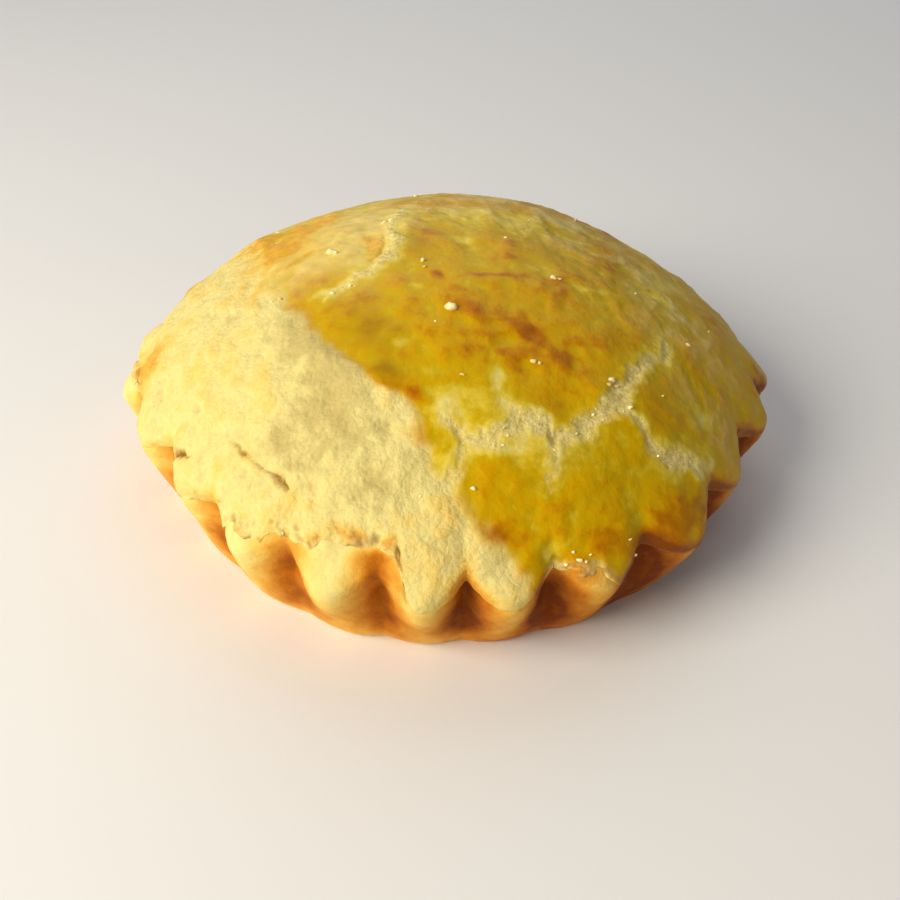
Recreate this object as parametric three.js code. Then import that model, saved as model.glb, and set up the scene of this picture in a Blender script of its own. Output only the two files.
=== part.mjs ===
// An individual chicken pie, baked in a small fluted tin and turned out: a fluted pastry case that
// flares from its flat underside, and a domed pastry lid whose edge hangs over the case in lobes.
// Both are solid, because the pie is uncut. Millimetres, +Z up, origin at the centre of the flat
// underside.
import * as THREE from "three";

// Driving sizes
const PIE_HEIGHT = 40.4;
const RIM_RADIUS = 53.4; // to the lid's edge, on the crest of a flute
const RIM_HEIGHT = 14.4; // where the pie is widest
const UNDERSIDE_RADIUS = 47.3; // to the crest of a flute
const UNDERSIDE_ROUNDING = 1.0;
const WALL_BELLY = 0.9; // how far the case's wall bows out between its ends
const LID_THICKNESS = 3.4; // as its torn edge shows
const SEAM_GAP = 0.3;
const SEAM_DROP = 1.4; // from the height where the pie is widest down to the seam

// Flutes: ridges that narrow at the crest, with wide hollows between them
const FLUTES = 23;
const SEGMENTS_PER_FLUTE = 6;
const FLUTE_SHARPNESS = 1.1;
const FLUTE_FADE = 13; // how soon the flutes fade out on the way up the dome
const SEAM_FLUTE_FADE = 7; // and under the lid
const FLUTE_DEPTH_AT_RIM = 5.0; // crest to hollow, on the case
const FLUTE_SHARE_ON_LID = 0.92; // how much of that depth the thicker lid keeps
const FLUTE_DEPTH_AT_UNDERSIDE = 1.4;
const LOBE_DROP = 1.4; // how much lower the lid's edge hangs on a crest than over a hollow
const LID_OVERHANG = 0.6; // how far the lid's edge stands out from the case
const HOLLOW_BRIDGE = 0.8; // and how much further it does over a hollow

// The dome is a superellipse of revolution
const DOME_ROUNDNESS_OUT = 2.1;
const DOME_ROUNDNESS_UP = 1.23;
const DOME_RINGS = 10;
const SEAM_RINGS = 6;
const WALL_RINGS = 4;
const EDGE_RINGS = 4;

// Unevenness of a hand-made pie. Angles in degrees, anticlockwise from +X, seen from above.
const DENT_REACH = 3; // the higher, the closer the dents keep to the rim
const DENT_AT_UNDERSIDE = 0.4; // the share of the rim's dents and bulges that reaches down there
const SWELL_REACH = 4; // the higher, the closer to the rim the dome's swells end
const FIRST_CREST = -171.6;
const CREST_DRIFT = { amount: 2.4, waves: 4, at: -42 };
const RIM_DENTS = [
  { at: -141, depth: 4.0, spread: 19 },
  { at: -27, depth: 2.2, spread: 12 },
  { at: 105, depth: 1.6, spread: 22 },
];
const RIM_BULGES = [
  { at: 2, depth: -1.6, spread: 24 },
  { at: 178, depth: -0.8, spread: 16 },
];
const DOME_SWELLS = [
  { at: 62, radius: 25, rise: 1.4, spread: 13 },
  { at: 150, radius: 38, rise: 1.5, spread: 10 },
  { at: -110, radius: 30, rise: 0.8, spread: 14 },
  { at: 10, radius: 33, rise: -1.0, spread: 14 },
];

const SEGMENTS = FLUTES * SEGMENTS_PER_FLUTE;
const degrees = (angle) => THREE.MathUtils.degToRad(angle);
const mix = THREE.MathUtils.lerp;

// How far apart two directions are, in degrees from -180 to 180.
function turnBetween(a, b) {
  return THREE.MathUtils.euclideanModulo(a - b + 180, 360) - 180;
}

// 1 on the crest of a flute and 0 in the middle of a hollow.
function crest(direction) {
  const wave = (1 + Math.cos(degrees(FLUTES * (direction - FIRST_CREST)))) / 2;
  return wave ** FLUTE_SHARPNESS;
}

// The flutes aren't evenly spaced: the direction in which the pastry of a direction really lies.
function drifted(direction) {
  const { amount, waves, at } = CREST_DRIFT;
  return direction + amount * Math.sin(degrees(waves * (direction - at)));
}

// How far the rim is pressed in, in a direction. It is negative where it bulges.
function dent(direction) {
  return [...RIM_DENTS, ...RIM_BULGES].reduce(
    (sum, { at, depth, spread }) => sum + depth * Math.exp(-((turnBetween(direction, at) / spread) ** 2)),
    0,
  );
}

// How far the dome stands above its even shape.
function swell(radius, direction) {
  const x = radius * Math.cos(degrees(direction));
  const y = radius * Math.sin(degrees(direction));
  return DOME_SWELLS.reduce((sum, { at, radius: out, rise, spread }) => {
    const away = Math.hypot(x - out * Math.cos(degrees(at)), y - out * Math.sin(degrees(at)));
    return sum + rise * Math.exp(-((away / spread) ** 2));
  }, 0);
}

// A point of a profile before the flutes are pressed in: its radius on a crest and its height, with
// the share of the rim's flute depth, lobe drop, bridging, dents and swells that reach it.
function point(radius, height, { flute = 0, lobe = 0, bridge = 0, dented = 0, swelled = 0 } = {}) {
  return { radius, height, flute, lobe, bridge, dented, swelled };
}

// Where a point of a profile lies in a direction.
function pressed(p, direction) {
  const hollow = 1 - crest(direction);
  const radius =
    p.radius -
    p.flute * FLUTE_DEPTH_AT_RIM * hollow +
    p.bridge * HOLLOW_BRIDGE * hollow -
    p.dented * dent(direction);
  const height = p.height + p.lobe * LOBE_DROP * (hollow - 0.5) + p.swelled * swell(radius, direction);
  return { radius, height };
}

// Splits each four-sided face of a lathe along its other diagonal.
function splitOtherWay(geometry) {
  const index = geometry.getIndex();
  for (let face = 0; face < index.count; face += 6) {
    const [a, b, d, c] = [0, 1, 2, 3].map((corner) => index.getX(face + corner));
    [a, b, c, a, c, d].forEach((vertex, corner) => index.setX(face + corner, vertex));
  }
}

// A closed solid of revolution with the flutes and the unevenness pressed into it. The profile runs
// from the axis out along its lower side, and back over its upper side.
function pastry(profile) {
  const outline = profile.map((p) => new THREE.Vector2(p.radius, p.height));
  const geometry = new THREE.LatheGeometry(outline, SEGMENTS);
  const position = geometry.getAttribute("position");
  for (let segment = 0; segment <= SEGMENTS; segment += 1) {
    const direction = ((segment % SEGMENTS) / SEGMENTS) * 360 + FIRST_CREST;
    const angle = degrees(drifted(direction));
    profile.forEach((p, index) => {
      const { radius, height } = pressed(p, direction);
      const vertex = segment * profile.length + index;
      position.setXYZ(vertex, radius * Math.sin(angle), height, radius * Math.cos(angle));
    });
  }
  geometry.rotateX(Math.PI / 2).rotateZ(Math.PI / 2); // the lathe's axis is Y, and it starts at Z
  geometry.computeVertexNormals();
  return geometry;
}

// The dome's outer side, from the rim up to the top.
function domeOuterSide() {
  return Array.from({ length: DOME_RINGS + 1 }, (_, ring) => {
    const turn = (1 - ring / DOME_RINGS) * (Math.PI / 2);
    const share = Math.sin(turn) ** (2 / DOME_ROUNDNESS_OUT);
    const rise = ring === 0 ? 0 : Math.cos(turn) ** (2 / DOME_ROUNDNESS_UP);
    const nearRim = share ** FLUTE_FADE;
    return point(ring === DOME_RINGS ? 0 : RIM_RADIUS * share, mix(RIM_HEIGHT, PIE_HEIGHT, rise), {
      flute: FLUTE_SHARE_ON_LID * nearRim,
      lobe: nearRim,
      bridge: nearRim,
      dented: share ** DENT_REACH,
      swelled: 1 - share ** SWELL_REACH,
    });
  });
}

// The lid's underside, from the top out to the seam at the case's rim.
function seamSurface(drop = 0) {
  const edge = { radius: RIM_RADIUS - LID_OVERHANG, height: RIM_HEIGHT - SEAM_DROP };
  return Array.from({ length: SEAM_RINGS + 1 }, (_, ring) => {
    const turn = (ring / SEAM_RINGS) * (Math.PI / 2);
    const share = Math.sin(turn) ** (2 / DOME_ROUNDNESS_OUT);
    const rise = ring === SEAM_RINGS ? 0 : Math.cos(turn) ** (2 / DOME_ROUNDNESS_UP);
    const nearRim = share ** SEAM_FLUTE_FADE;
    return point(edge.radius * share, mix(edge.height, PIE_HEIGHT - LID_THICKNESS, rise) - drop, {
      flute: nearRim,
      lobe: nearRim,
      dented: share ** DENT_REACH,
      swelled: 1 - share ** SWELL_REACH,
    });
  });
}

// The lid's edge: a blunt nose from the seam round to the dome's outer side.
function lidEdge() {
  const [inner, outer] = [seamSurface().at(-1), domeOuterSide()[0]];
  return Array.from({ length: EDGE_RINGS - 1 }, (_, ring) => {
    const along = (ring + 1) / EDGE_RINGS;
    const turn = along * (Math.PI / 2);
    return point(
      mix(inner.radius, outer.radius, Math.sin(turn)),
      mix(inner.height, outer.height, 1 - Math.cos(turn)),
      { flute: mix(inner.flute, outer.flute, along), lobe: 1, bridge: Math.sin(turn), dented: 1 },
    );
  });
}

// The case's flat underside and its fluted wall, up to the seam.
function caseWall(rim) {
  const depthBelow = FLUTE_DEPTH_AT_UNDERSIDE / FLUTE_DEPTH_AT_RIM;
  const flat = point(UNDERSIDE_RADIUS - UNDERSIDE_ROUNDING, 0, { flute: depthBelow, dented: DENT_AT_UNDERSIDE });
  const rings = Array.from({ length: WALL_RINGS }, (_, ring) => {
    const up = ring / WALL_RINGS;
    return point(
      mix(UNDERSIDE_RADIUS, rim.radius, up) + WALL_BELLY * Math.sin(up * Math.PI),
      mix(UNDERSIDE_ROUNDING, rim.height, up),
      { flute: mix(depthBelow, 1, up), lobe: up ** 2, dented: mix(DENT_AT_UNDERSIDE, 1, up) },
    );
  });
  return [point(0, 0), flat, ...rings];
}

// The case, filled to the brim and solid.
function pastryCase() {
  const top = seamSurface(SEAM_GAP).reverse();
  const material = new THREE.MeshStandardMaterial({ color: 0xd9a75f, roughness: 0.7, metalness: 0 });
  const geometry = pastry([...caseWall(top[0]), ...top]);
  splitOtherWay(geometry); // its top runs the other way than the lid's underside, and has to fit it
  const mesh = new THREE.Mesh(geometry, material);
  mesh.name = "pastry_case";
  return mesh;
}

// The domed lid, a sheet of pastry laid over the filled case.
function pastryLid() {
  const profile = [...seamSurface(), ...lidEdge(), ...domeOuterSide()];
  const material = new THREE.MeshStandardMaterial({ color: 0xd8ac3e, roughness: 0.55, metalness: 0 });
  const mesh = new THREE.Mesh(pastry(profile), material);
  mesh.name = "pastry_lid";
  return mesh;
}

const pie = new THREE.Group();
pie.name = "chicken_pie";
pie.add(pastryCase(), pastryLid());

export default pie;
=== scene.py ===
"""The looks of a small hand-made chicken pie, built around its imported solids.

A fluted shortcrust case carries a domed lid of the same pastry. Egg wash was brushed over most of the
lid before baking, so it is golden and a little glossy there, and pale and sandy where the brush
missed. Lengths are millimetres and directions degrees, anticlockwise from +X and seen from above,
until a mesh is made in metres.
"""

from __future__ import annotations

import logging
import math
from collections.abc import Sequence
from dataclasses import dataclass
from enum import Enum
from functools import cached_property

import bpy
import numpy as np
from mathutils import Euler, Matrix, Vector

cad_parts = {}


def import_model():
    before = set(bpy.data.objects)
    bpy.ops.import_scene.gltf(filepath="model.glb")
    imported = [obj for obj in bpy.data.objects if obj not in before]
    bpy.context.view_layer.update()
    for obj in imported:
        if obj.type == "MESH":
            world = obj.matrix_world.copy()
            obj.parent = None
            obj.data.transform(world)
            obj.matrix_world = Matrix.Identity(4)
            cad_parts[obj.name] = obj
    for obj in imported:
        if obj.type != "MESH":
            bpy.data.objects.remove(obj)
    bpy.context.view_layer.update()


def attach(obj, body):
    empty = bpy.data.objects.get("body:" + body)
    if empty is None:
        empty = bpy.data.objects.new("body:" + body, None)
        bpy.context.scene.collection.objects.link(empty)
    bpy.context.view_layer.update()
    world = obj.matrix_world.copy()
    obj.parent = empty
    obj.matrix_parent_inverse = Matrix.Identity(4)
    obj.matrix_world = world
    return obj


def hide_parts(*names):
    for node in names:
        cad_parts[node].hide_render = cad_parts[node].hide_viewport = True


MM = 0.001
LOG = logging.getLogger("pie")

Array = np.ndarray

MATHS = "ShaderNodeMath"
VECTORS = "ShaderNodeVectorMath"
NOISE = "ShaderNodeTexNoise"
RANGE = "ShaderNodeMapRange"
BLEND = "ShaderNodeMix"
RAMP = "ShaderNodeValToRGB"
ATTRIBUTE = "ShaderNodeAttribute"
SHADER = "ShaderNodeBsdfPrincipled"
CHANCE = "FunctionNodeRandomValue"
STORE = "GeometryNodeStoreNamedAttribute"

COLOURS = {"data_type": "RGBA"}
NUMBERS = {"data_type": "FLOAT"}
NUMBERS_AT_POINTS = {"data_type": "FLOAT", "domain": "POINT"}


# ---------------------------------------------------------------------------------------------
# Helpers
# ---------------------------------------------------------------------------------------------


def linear(hex_colour: str) -> tuple[float, float, float, float]:
    """Turns an sRGB hex colour into the linear colour that a shader takes.

    Args:
        hex_colour: six hex digits, with or without a leading #.

    Returns:
        Linear red, green and blue, and an alpha of 1.
    """
    digits = hex_colour.lstrip("#")
    parts = [int(digits[start : start + 2], 16) / 255 for start in (0, 2, 4)]
    red, green, blue = [c / 12.92 if c <= 0.04045 else ((c + 0.055) / 1.055) ** 2.4 for c in parts]
    return red, green, blue, 1.0


def add_node(
    tree: bpy.types.NodeTree,
    kind: str,
    settings: dict[str, object] | None = None,
    inputs: dict[str | int, object] | None = None,
    output: int = 0,
) -> bpy.types.NodeSocket | None:
    """Adds a node to a tree.

    Args:
        tree: a shader or geometry node tree.
        kind: the node's Blender type.
        settings: values of the node's own properties.
        inputs: for each input's name or number, the socket that feeds it or its value.
        output: the number of the output that is wanted.

    Returns:
        That output, or nothing from a node without one.
    """
    node = tree.nodes.new(kind)
    for name, value in (settings or {}).items():
        setattr(node, name, value)
    for key, value in (inputs or {}).items():
        if isinstance(value, bpy.types.NodeSocket):
            tree.links.new(value, node.inputs[key])
        else:
            node.inputs[key].default_value = value
    return node.outputs[output] if len(node.outputs) > output else None


def fill_ramp(ramp: bpy.types.ColorRamp, stops: Sequence[tuple[float, str]]) -> None:
    """Gives a colour ramp its stops.

    Args:
        ramp: the ramp, with the two stops that it starts with.
        stops: for each stop its position from 0 to 1 and its sRGB hex colour.
    """
    for position, _ in stops[1:-1]:
        ramp.elements.new(position)
    for element, (position, colour) in zip(ramp.elements, stops):
        element.position = position
        element.color = linear(colour)


def smoothstep(low: Array | float, high: Array | float, value: Array) -> Array:
    """Rises smoothly from 0 where a value is low to 1 where it is high."""
    share = np.clip((value - low) / (high - low), 0.0, 1.0)
    return share * share * (3.0 - 2.0 * share)


def mix(low: Array | float, high: Array | float, share: Array | float) -> Array:
    """Goes from low at a share of 0 to high at a share of 1."""
    return low + (high - low) * share


def bell(away: Array, spread: float) -> Array:
    """1 in the middle, falling smoothly to nearly 0 at twice the spread."""
    return np.exp(-((away / spread) ** 2))


def turn_between(directions: Array, at: float) -> Array:
    """How far directions are from a direction, in degrees from -180 to 180."""
    return (directions - at + 180.0) % 360.0 - 180.0


@dataclass(frozen=True)
class Lumps:
    """A layer of noise: how wide its lumps are in mm, its octaves, and the shift it is taken at.

    Two layers taken at one shift would show the same pattern at two sizes.
    """

    size: float
    octaves: int = 1
    shift: float = 0.0


@dataclass(frozen=True)
class DoughNoise:
    """Smooth gradient noise in space: the uneven look of dough, the same on every run."""

    seed: int
    strength: float = 1.6
    between_octaves: float = 17.3
    between_axes: float = 31.7

    def at(self, points: Array, lumps: Lumps) -> Array:
        """Noise at points.

        Args:
            points: n places, in mm.
            lumps: the layer. Each of its octaves is half as wide and half as strong as the one before.

        Returns:
            A value for each point, mostly between -1 and 1.
        """
        random = np.random.default_rng(self.seed)
        order = random.permutation(256)
        slopes = random.normal(size=(256, 3))
        slopes /= np.linalg.norm(slopes, axis=1)[:, None]
        total = np.zeros(len(points))
        for octave in range(lumps.octaves):
            place = (points + lumps.shift) / lumps.size * 2**octave + self.between_octaves * octave
            cell = np.floor(place).astype(np.int64)
            inside = place - cell
            ease = inside * inside * inside * (inside * (inside * 6.0 - 15.0) + 10.0)
            layer = np.zeros(len(points))
            for corner in np.ndindex(2, 2, 2):
                step = np.array(corner)
                x, y, z = (cell + step).T & 255
                slope = slopes[order[(order[(order[x] + y) & 255] + z) & 255]]
                share = np.prod(np.where(step == 1, ease, 1.0 - ease), axis=1)
                layer += share * np.einsum("ij,ij->i", slope, inside - step)
            total += layer * self.strength / 2**octave
        return total

    def sway(self, points: Array, lumps: Lumps) -> Array:
        """A shift in X and Y, which makes an outline wander.

        Args:
            points: n places, in mm.
            lumps: the layer that the shift follows.

        Returns:
            For each point a shift in X and one in Y.
        """
        shifted = points + lumps.shift
        here = Lumps(lumps.size, lumps.octaves)
        return np.column_stack([self.at(shifted + apart, here) for apart in (0.0, self.between_axes)])


# the dough's layers, which lift the crust and colour it
BROAD = Lumps(15.0, 2)
MOTTLED = Lumps(7.0, 2, 340.0)
PATCHY = Lumps(4.5, 2, 40.0)
FINE = Lumps(2.1, 1, 80.0)
FINER = Lumps(1.4, 1, 100.0)
BUCKLED = Lumps(6.0, 3, 520.0)
PITTED = Lumps(1.7, 1, 360.0)
# those that outlines wander with
SWAYING = Lumps(3.0, 2, 120.0)
FRETTED = Lumps(1.6, 2, 200.0)
# those of the egg wash
STREAKED = Lumps(1.3, 2, 240.0)
WRINKLED = Lumps(3.0, 2, 280.0)
VEILED = Lumps(6.0, 1, 500.0)
# those of the cracks and of the lid's edge
CRUMBLY = Lumps(1.3, 1, 400.0)
FRAYED = Lumps(1.6, 2, 440.0)
HOLED = Lumps(2.0, 2, 480.0)
CRUMBLED = Lumps(1.6, 2, 560.0)


def new_mesh(name: str, points: Array, faces: Array) -> bpy.types.Mesh:
    """Makes a smooth mesh in metres.

    Args:
        name: the mesh's name.
        points: n places, in mm.
        faces: m faces, all with the same number of corners.

    Returns:
        The mesh.
    """
    mesh = bpy.data.meshes.new(name)
    mesh.vertices.add(len(points))
    mesh.vertices.foreach_set("co", (points * MM).astype(np.float32).ravel())
    mesh.loops.add(faces.size)
    mesh.loops.foreach_set("vertex_index", faces.astype(np.int32).ravel())
    mesh.polygons.add(len(faces))
    mesh.polygons.foreach_set("loop_start", np.arange(0, faces.size, faces.shape[1], dtype=np.int32))
    mesh.update(calc_edges=True)
    mesh.shade_smooth()
    return mesh


def read_points(mesh: bpy.types.Mesh) -> Array:
    """Reads where a mesh's vertices are.

    Args:
        mesh: the mesh.

    Returns:
        Their places, in mm.
    """
    flat = np.empty(len(mesh.vertices) * 3, dtype=np.float32)
    mesh.vertices.foreach_get("co", flat)
    return flat.reshape(-1, 3).astype(np.float64) / MM


def move_points(mesh: bpy.types.Mesh, points: Array) -> None:
    """Moves a mesh's vertices to places in mm."""
    mesh.vertices.foreach_set("co", (points * MM).astype(np.float32).ravel())
    mesh.update()


def read_normals(mesh: bpy.types.Mesh) -> Array:
    """Reads which way a mesh's vertices face.

    Args:
        mesh: the mesh.

    Returns:
        Their normals.
    """
    flat = np.empty(len(mesh.vertices) * 3, dtype=np.float32)
    mesh.vertex_normals.foreach_get("vector", flat)
    return flat.reshape(-1, 3).astype(np.float64)


def take_values(mesh: bpy.types.Mesh, name: str) -> Array:
    """Reads a value for each vertex that a tree left on a mesh, and removes it there.

    Args:
        mesh: the mesh.
        name: the value's name.

    Returns:
        The values.
    """
    values = np.empty(len(mesh.vertices), dtype=np.float32)
    mesh.attributes[name].data.foreach_get("value", values)
    mesh.attributes.remove(mesh.attributes[name])
    return values.astype(np.float64)


def set_values(mesh: bpy.types.Mesh, values_by_name: dict[str, Array]) -> None:
    """Writes values for each vertex, which a material or a tree reads by name."""
    for name, values in values_by_name.items():
        mesh.attributes.new(name, "FLOAT", "POINT").data.foreach_set("value", values.astype(np.float32))


def new_object(name: str, mesh: bpy.types.Mesh) -> bpy.types.Object:
    """Puts a mesh in the scene as an object at the origin.

    Args:
        name: the object's name.
        mesh: its mesh.

    Returns:
        The object.
    """
    piece = bpy.data.objects.new(name, mesh)
    bpy.context.scene.collection.objects.link(piece)
    return piece


def new_tree(name: str, inputs: dict[str, str]) -> tuple[bpy.types.NodeTree, bpy.types.NodeOutputs]:
    """Starts a Geometry Nodes tree that takes a geometry and gives one.

    Args:
        name: the tree's name.
        inputs: its other inputs, each a name and its kind of socket.

    Returns:
        The tree, and the sockets of its inputs.
    """
    tree = bpy.data.node_groups.new(name, "GeometryNodeTree")
    kinds = [("Geometry", "Geometry", "INPUT"), *((name, kind, "INPUT") for name, kind in inputs.items())]
    for name, kind, way in [*kinds, ("Geometry", "Geometry", "OUTPUT")]:
        tree.interface.new_socket(name, in_out=way, socket_type=f"NodeSocket{kind}")
    return tree, tree.nodes.new("NodeGroupInput").outputs


def run_tree(mesh: bpy.types.Mesh, tree: bpy.types.NodeTree, inputs: dict[str, object]) -> bpy.types.Mesh:
    """Runs a Geometry Nodes tree on a mesh and takes the result as a plain mesh.

    Args:
        mesh: what the tree works on. It is left as it is.
        tree: the tree.
        inputs: a value for each of the tree's named inputs.

    Returns:
        The plain mesh.
    """
    holder = new_object("holder", mesh)
    modifier = holder.modifiers.new(tree.name, "NODES")
    modifier.node_group = tree
    for item in tree.interface.items_tree:
        if item.item_type == "SOCKET" and item.in_out == "INPUT" and item.name in inputs:
            modifier[item.identifier] = inputs[item.name]
    holder.update_tag()
    evaluated = holder.evaluated_get(bpy.context.evaluated_depsgraph_get())
    result = bpy.data.meshes.new_from_object(evaluated)
    holder.modifiers.remove(modifier)
    bpy.data.objects.remove(holder)
    return result


# ---------------------------------------------------------------------------------------------
# The pie's form
# ---------------------------------------------------------------------------------------------


@dataclass(frozen=True)
class Dent:
    """A stretch of the rim that is pressed in, or bulges out where its depth is negative.

    It is a direction, a depth in mm, and a spread in degrees.
    """

    at: float
    depth: float
    spread: float


@dataclass(frozen=True)
class Swell:
    """A place where the dome stands higher than its even shape, or lower if its rise is negative.

    It is a direction, and in mm how far out it lies, how far it rises and how wide it is.
    """

    at: float
    radius: float
    rise: float
    spread: float


@dataclass(frozen=True)
class TornEdge:
    """A stretch where the lid's edge tore off or shrank back, and the case's lip shows instead.

    It is a direction, how far the stretch reaches to either side, and how far the edge is back, in mm.
    """

    at: float
    half_width: float
    back: float


@dataclass(frozen=True)
class Rim:
    """How the dome turns down at its rim: late over a ridge, and early over a hollow.

    A pair holds the size over a ridge and the one over a hollow.
    """

    turns_before_end: tuple[float, float] = (1.2, 5.4)
    uneven: float = 0.22
    noise: DoughNoise = DoughNoise(3)
    lumps: Lumps = Lumps(15.0)
    bend: tuple[float, float] = (2.2, 1.5)
    steepest: float = math.radians(-97)
    skirt: tuple[float, float] = (0.7, 1.4)
    pointed: float = 0.65
    broad: float = 0.95
    valley: float = 1.0
    valley_reach: float = 4.0


@dataclass(frozen=True)
class PieForm:
    """The pie's sizes and the unevenness that the hand left in it, shared by case and lid."""

    height: float = 40.4
    rim_radius: float = 53.4
    rim_height: float = 14.4
    lid_thickness: float = 3.4
    roundness_out: float = 2.1
    roundness_up: float = 1.23
    flutes: int = 23
    first_crest: float = -171.6
    drift: float = 2.4
    drift_waves: int = 4
    drift_at: float = -42.0
    fat_lobes_at: float = -74.0
    fat_lobes_spread: float = 30.0
    fatness: float = 0.12
    rim: Rim = Rim()
    dough: DoughNoise = DoughNoise(31)
    # points along the dome's outline, a little closer together towards the rim
    outline_points: int = 900
    outline_spread: float = 0.9
    # heights between which the swells set in
    swells_between: tuple[float, float] = (15.0, 22.0)
    # the radius at the underside, and the share of the rim's dents that reaches down there
    underside_radius: float = 46.0
    dented_below: float = 0.4
    # the edge is torn back from so far past the dome's outline; a torn stretch fades in over degrees,
    # and the edge counts as fully torn where so much is missing
    torn_from: float = 1.0
    torn_fade: float = 2.0
    fully_torn: float = 3.0
    dents: tuple[Dent, ...] = (
        Dent(-141, 4.0, 19),
        Dent(-27, 2.2, 12),
        Dent(105, 1.6, 22),
        Dent(2, -1.6, 24),
        Dent(178, -0.8, 16),
    )
    swells: tuple[Swell, ...] = (
        Swell(62, 25, 0.7, 13),
        Swell(150, 38, 1.0, 10),
        Swell(-110, 30, 0.8, 14),
        Swell(10, 33, -1.0, 14),
    )
    torn: tuple[TornEdge, ...] = (
        TornEdge(-104.5, 8.0, 8.4),
        TornEdge(-114, 7.0, 6.4),
        TornEdge(-122, 6.0, 4.0),
        TornEdge(-66.5, 5.0, 3.6),
        TornEdge(-171, 7.0, 5.2),
        TornEdge(34, 6.0, 4.0),
        TornEdge(98, 9.0, 6.0),
        TornEdge(141, 5.0, 3.6),
    )

    def wave(self, direction: Array) -> Array:
        """1 on the crest of a flute and 0 in the middle of a hollow."""
        return (1.0 + np.cos(np.radians(self.flutes * (direction - self.first_crest)))) / 2.0

    def drifted(self, direction: Array) -> Array:
        """Where the pastry of a direction really lies.

        Args:
            direction: directions in which the flutes are evenly spaced.

        Returns:
            Directions in which they aren't, and in which some of the lobes are fatter.
        """
        spacing = self.drift * np.sin(np.radians(self.drift_waves * (direction - self.drift_at)))
        fatness = self.fatness * bell(turn_between(direction, self.fat_lobes_at), self.fat_lobes_spread)
        phase = np.radians(self.flutes * (direction - self.first_crest))
        return direction + spacing + np.degrees(fatness * np.sin(phase)) / self.flutes

    def dent(self, direction: Array) -> Array:
        """How far the rim is pressed in, in a direction."""
        return sum(d.depth * bell(turn_between(direction, d.at), d.spread) for d in self.dents)

    def swell(self, radius: Array, direction: Array) -> Array:
        """How far the dome stands above its even shape.

        Args:
            radius: distances from the middle, in mm.
            direction: directions, before the flutes drift.

        Returns:
            Heights in mm.
        """
        x = radius * np.cos(np.radians(direction))
        y = radius * np.sin(np.radians(direction))
        total = np.zeros_like(x)
        for s in self.swells:
            away_x = x - s.radius * math.cos(math.radians(s.at))
            away_y = y - s.radius * math.sin(math.radians(s.at))
            total += s.rise * bell(np.hypot(away_x, away_y), s.spread)
        return total * (1.0 - (np.clip(radius, 0.0, self.rim_radius) / self.rim_radius) ** 4)

    def unevenness(self, at: Array) -> Array:
        """How far the hand-made crust rises from its even shape, at places on it in mm."""
        broad, mottled, patchy = (self.dough.at(at, lumps) for lumps in (BROAD, MOTTLED, PATCHY))
        return 0.3 * broad + 0.22 * mottled + 0.2 * patchy

    def pulled_back(self, direction: Array) -> Array:
        """How far the lid's edge is torn back.

        Args:
            direction: directions, before the flutes drift.

        Returns:
            The length in mm that is missing in each.
        """
        back = np.zeros_like(direction)
        for t in self.torn:
            away = np.abs(turn_between(direction, t.at))
            fade = smoothstep(t.half_width + self.torn_fade, t.half_width - self.torn_fade, away)
            back = np.maximum(back, t.back * fade)
        return back

    def torn_share(self, direction: Array) -> Array:
        """1 where the lid's edge is torn back and 0 where it is whole."""
        return np.clip(self.pulled_back(direction) / self.fully_torn, 0.0, 1.0)

    def round_rim(self, direction: Array) -> Array:
        """Places on a plain circle as wide as the rim, at which noise for the rim is taken."""
        turn = np.radians(direction)
        return np.column_stack([np.cos(turn), np.sin(turn), 0 * direction]) * self.rim_radius

    def dome(self) -> tuple[Array, Array, Array, Array]:
        """The dome's outline, a superellipse, from the top out to the rim.

        Returns:
            Radius, height, length along the outline, and slope in radians, at points along it.
        """
        turn = np.linspace(0.0, 1.0, self.outline_points) ** self.outline_spread * math.pi / 2
        radius = self.rim_radius * np.sin(turn) ** (2 / self.roundness_out)
        rise = np.clip(np.cos(turn), 0.0, 1.0) ** (2 / self.roundness_up)
        height = mix(self.rim_height, self.height, rise)
        length = np.concatenate([[0.0], np.cumsum(np.hypot(np.diff(radius), np.diff(height)))])
        slope = np.arctan2(np.gradient(height, length), np.gradient(radius, length))
        return radius, height, length, slope

    def turn_down(self, direction: Array) -> tuple[Array, Array, Array, Array]:
        """How the dome turns down at its rim in directions.

        Args:
            direction: directions, before the flutes drift.

        Returns:
            The length from the top to where it starts to turn, the turn's radius, the slope at its
            start in radians, and the length from the top to where an untorn lid ends.
        """
        _, _, length, slope = self.dome()
        hollow = (1.0 - self.wave(direction) ** self.rim.pointed) ** self.rim.broad
        uneven = 1.0 + self.rim.uneven * self.rim.noise.at(self.round_rim(direction), self.rim.lumps)
        start = length[-1] - mix(*self.rim.turns_before_end, hollow) * uneven
        bend = mix(*self.rim.bend, hollow)
        first_slope = np.interp(start, length, slope)
        skirt = mix(*self.rim.skirt, hollow)
        return start, bend, first_slope, start + bend * (first_slope - self.rim.steepest) + skirt

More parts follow.
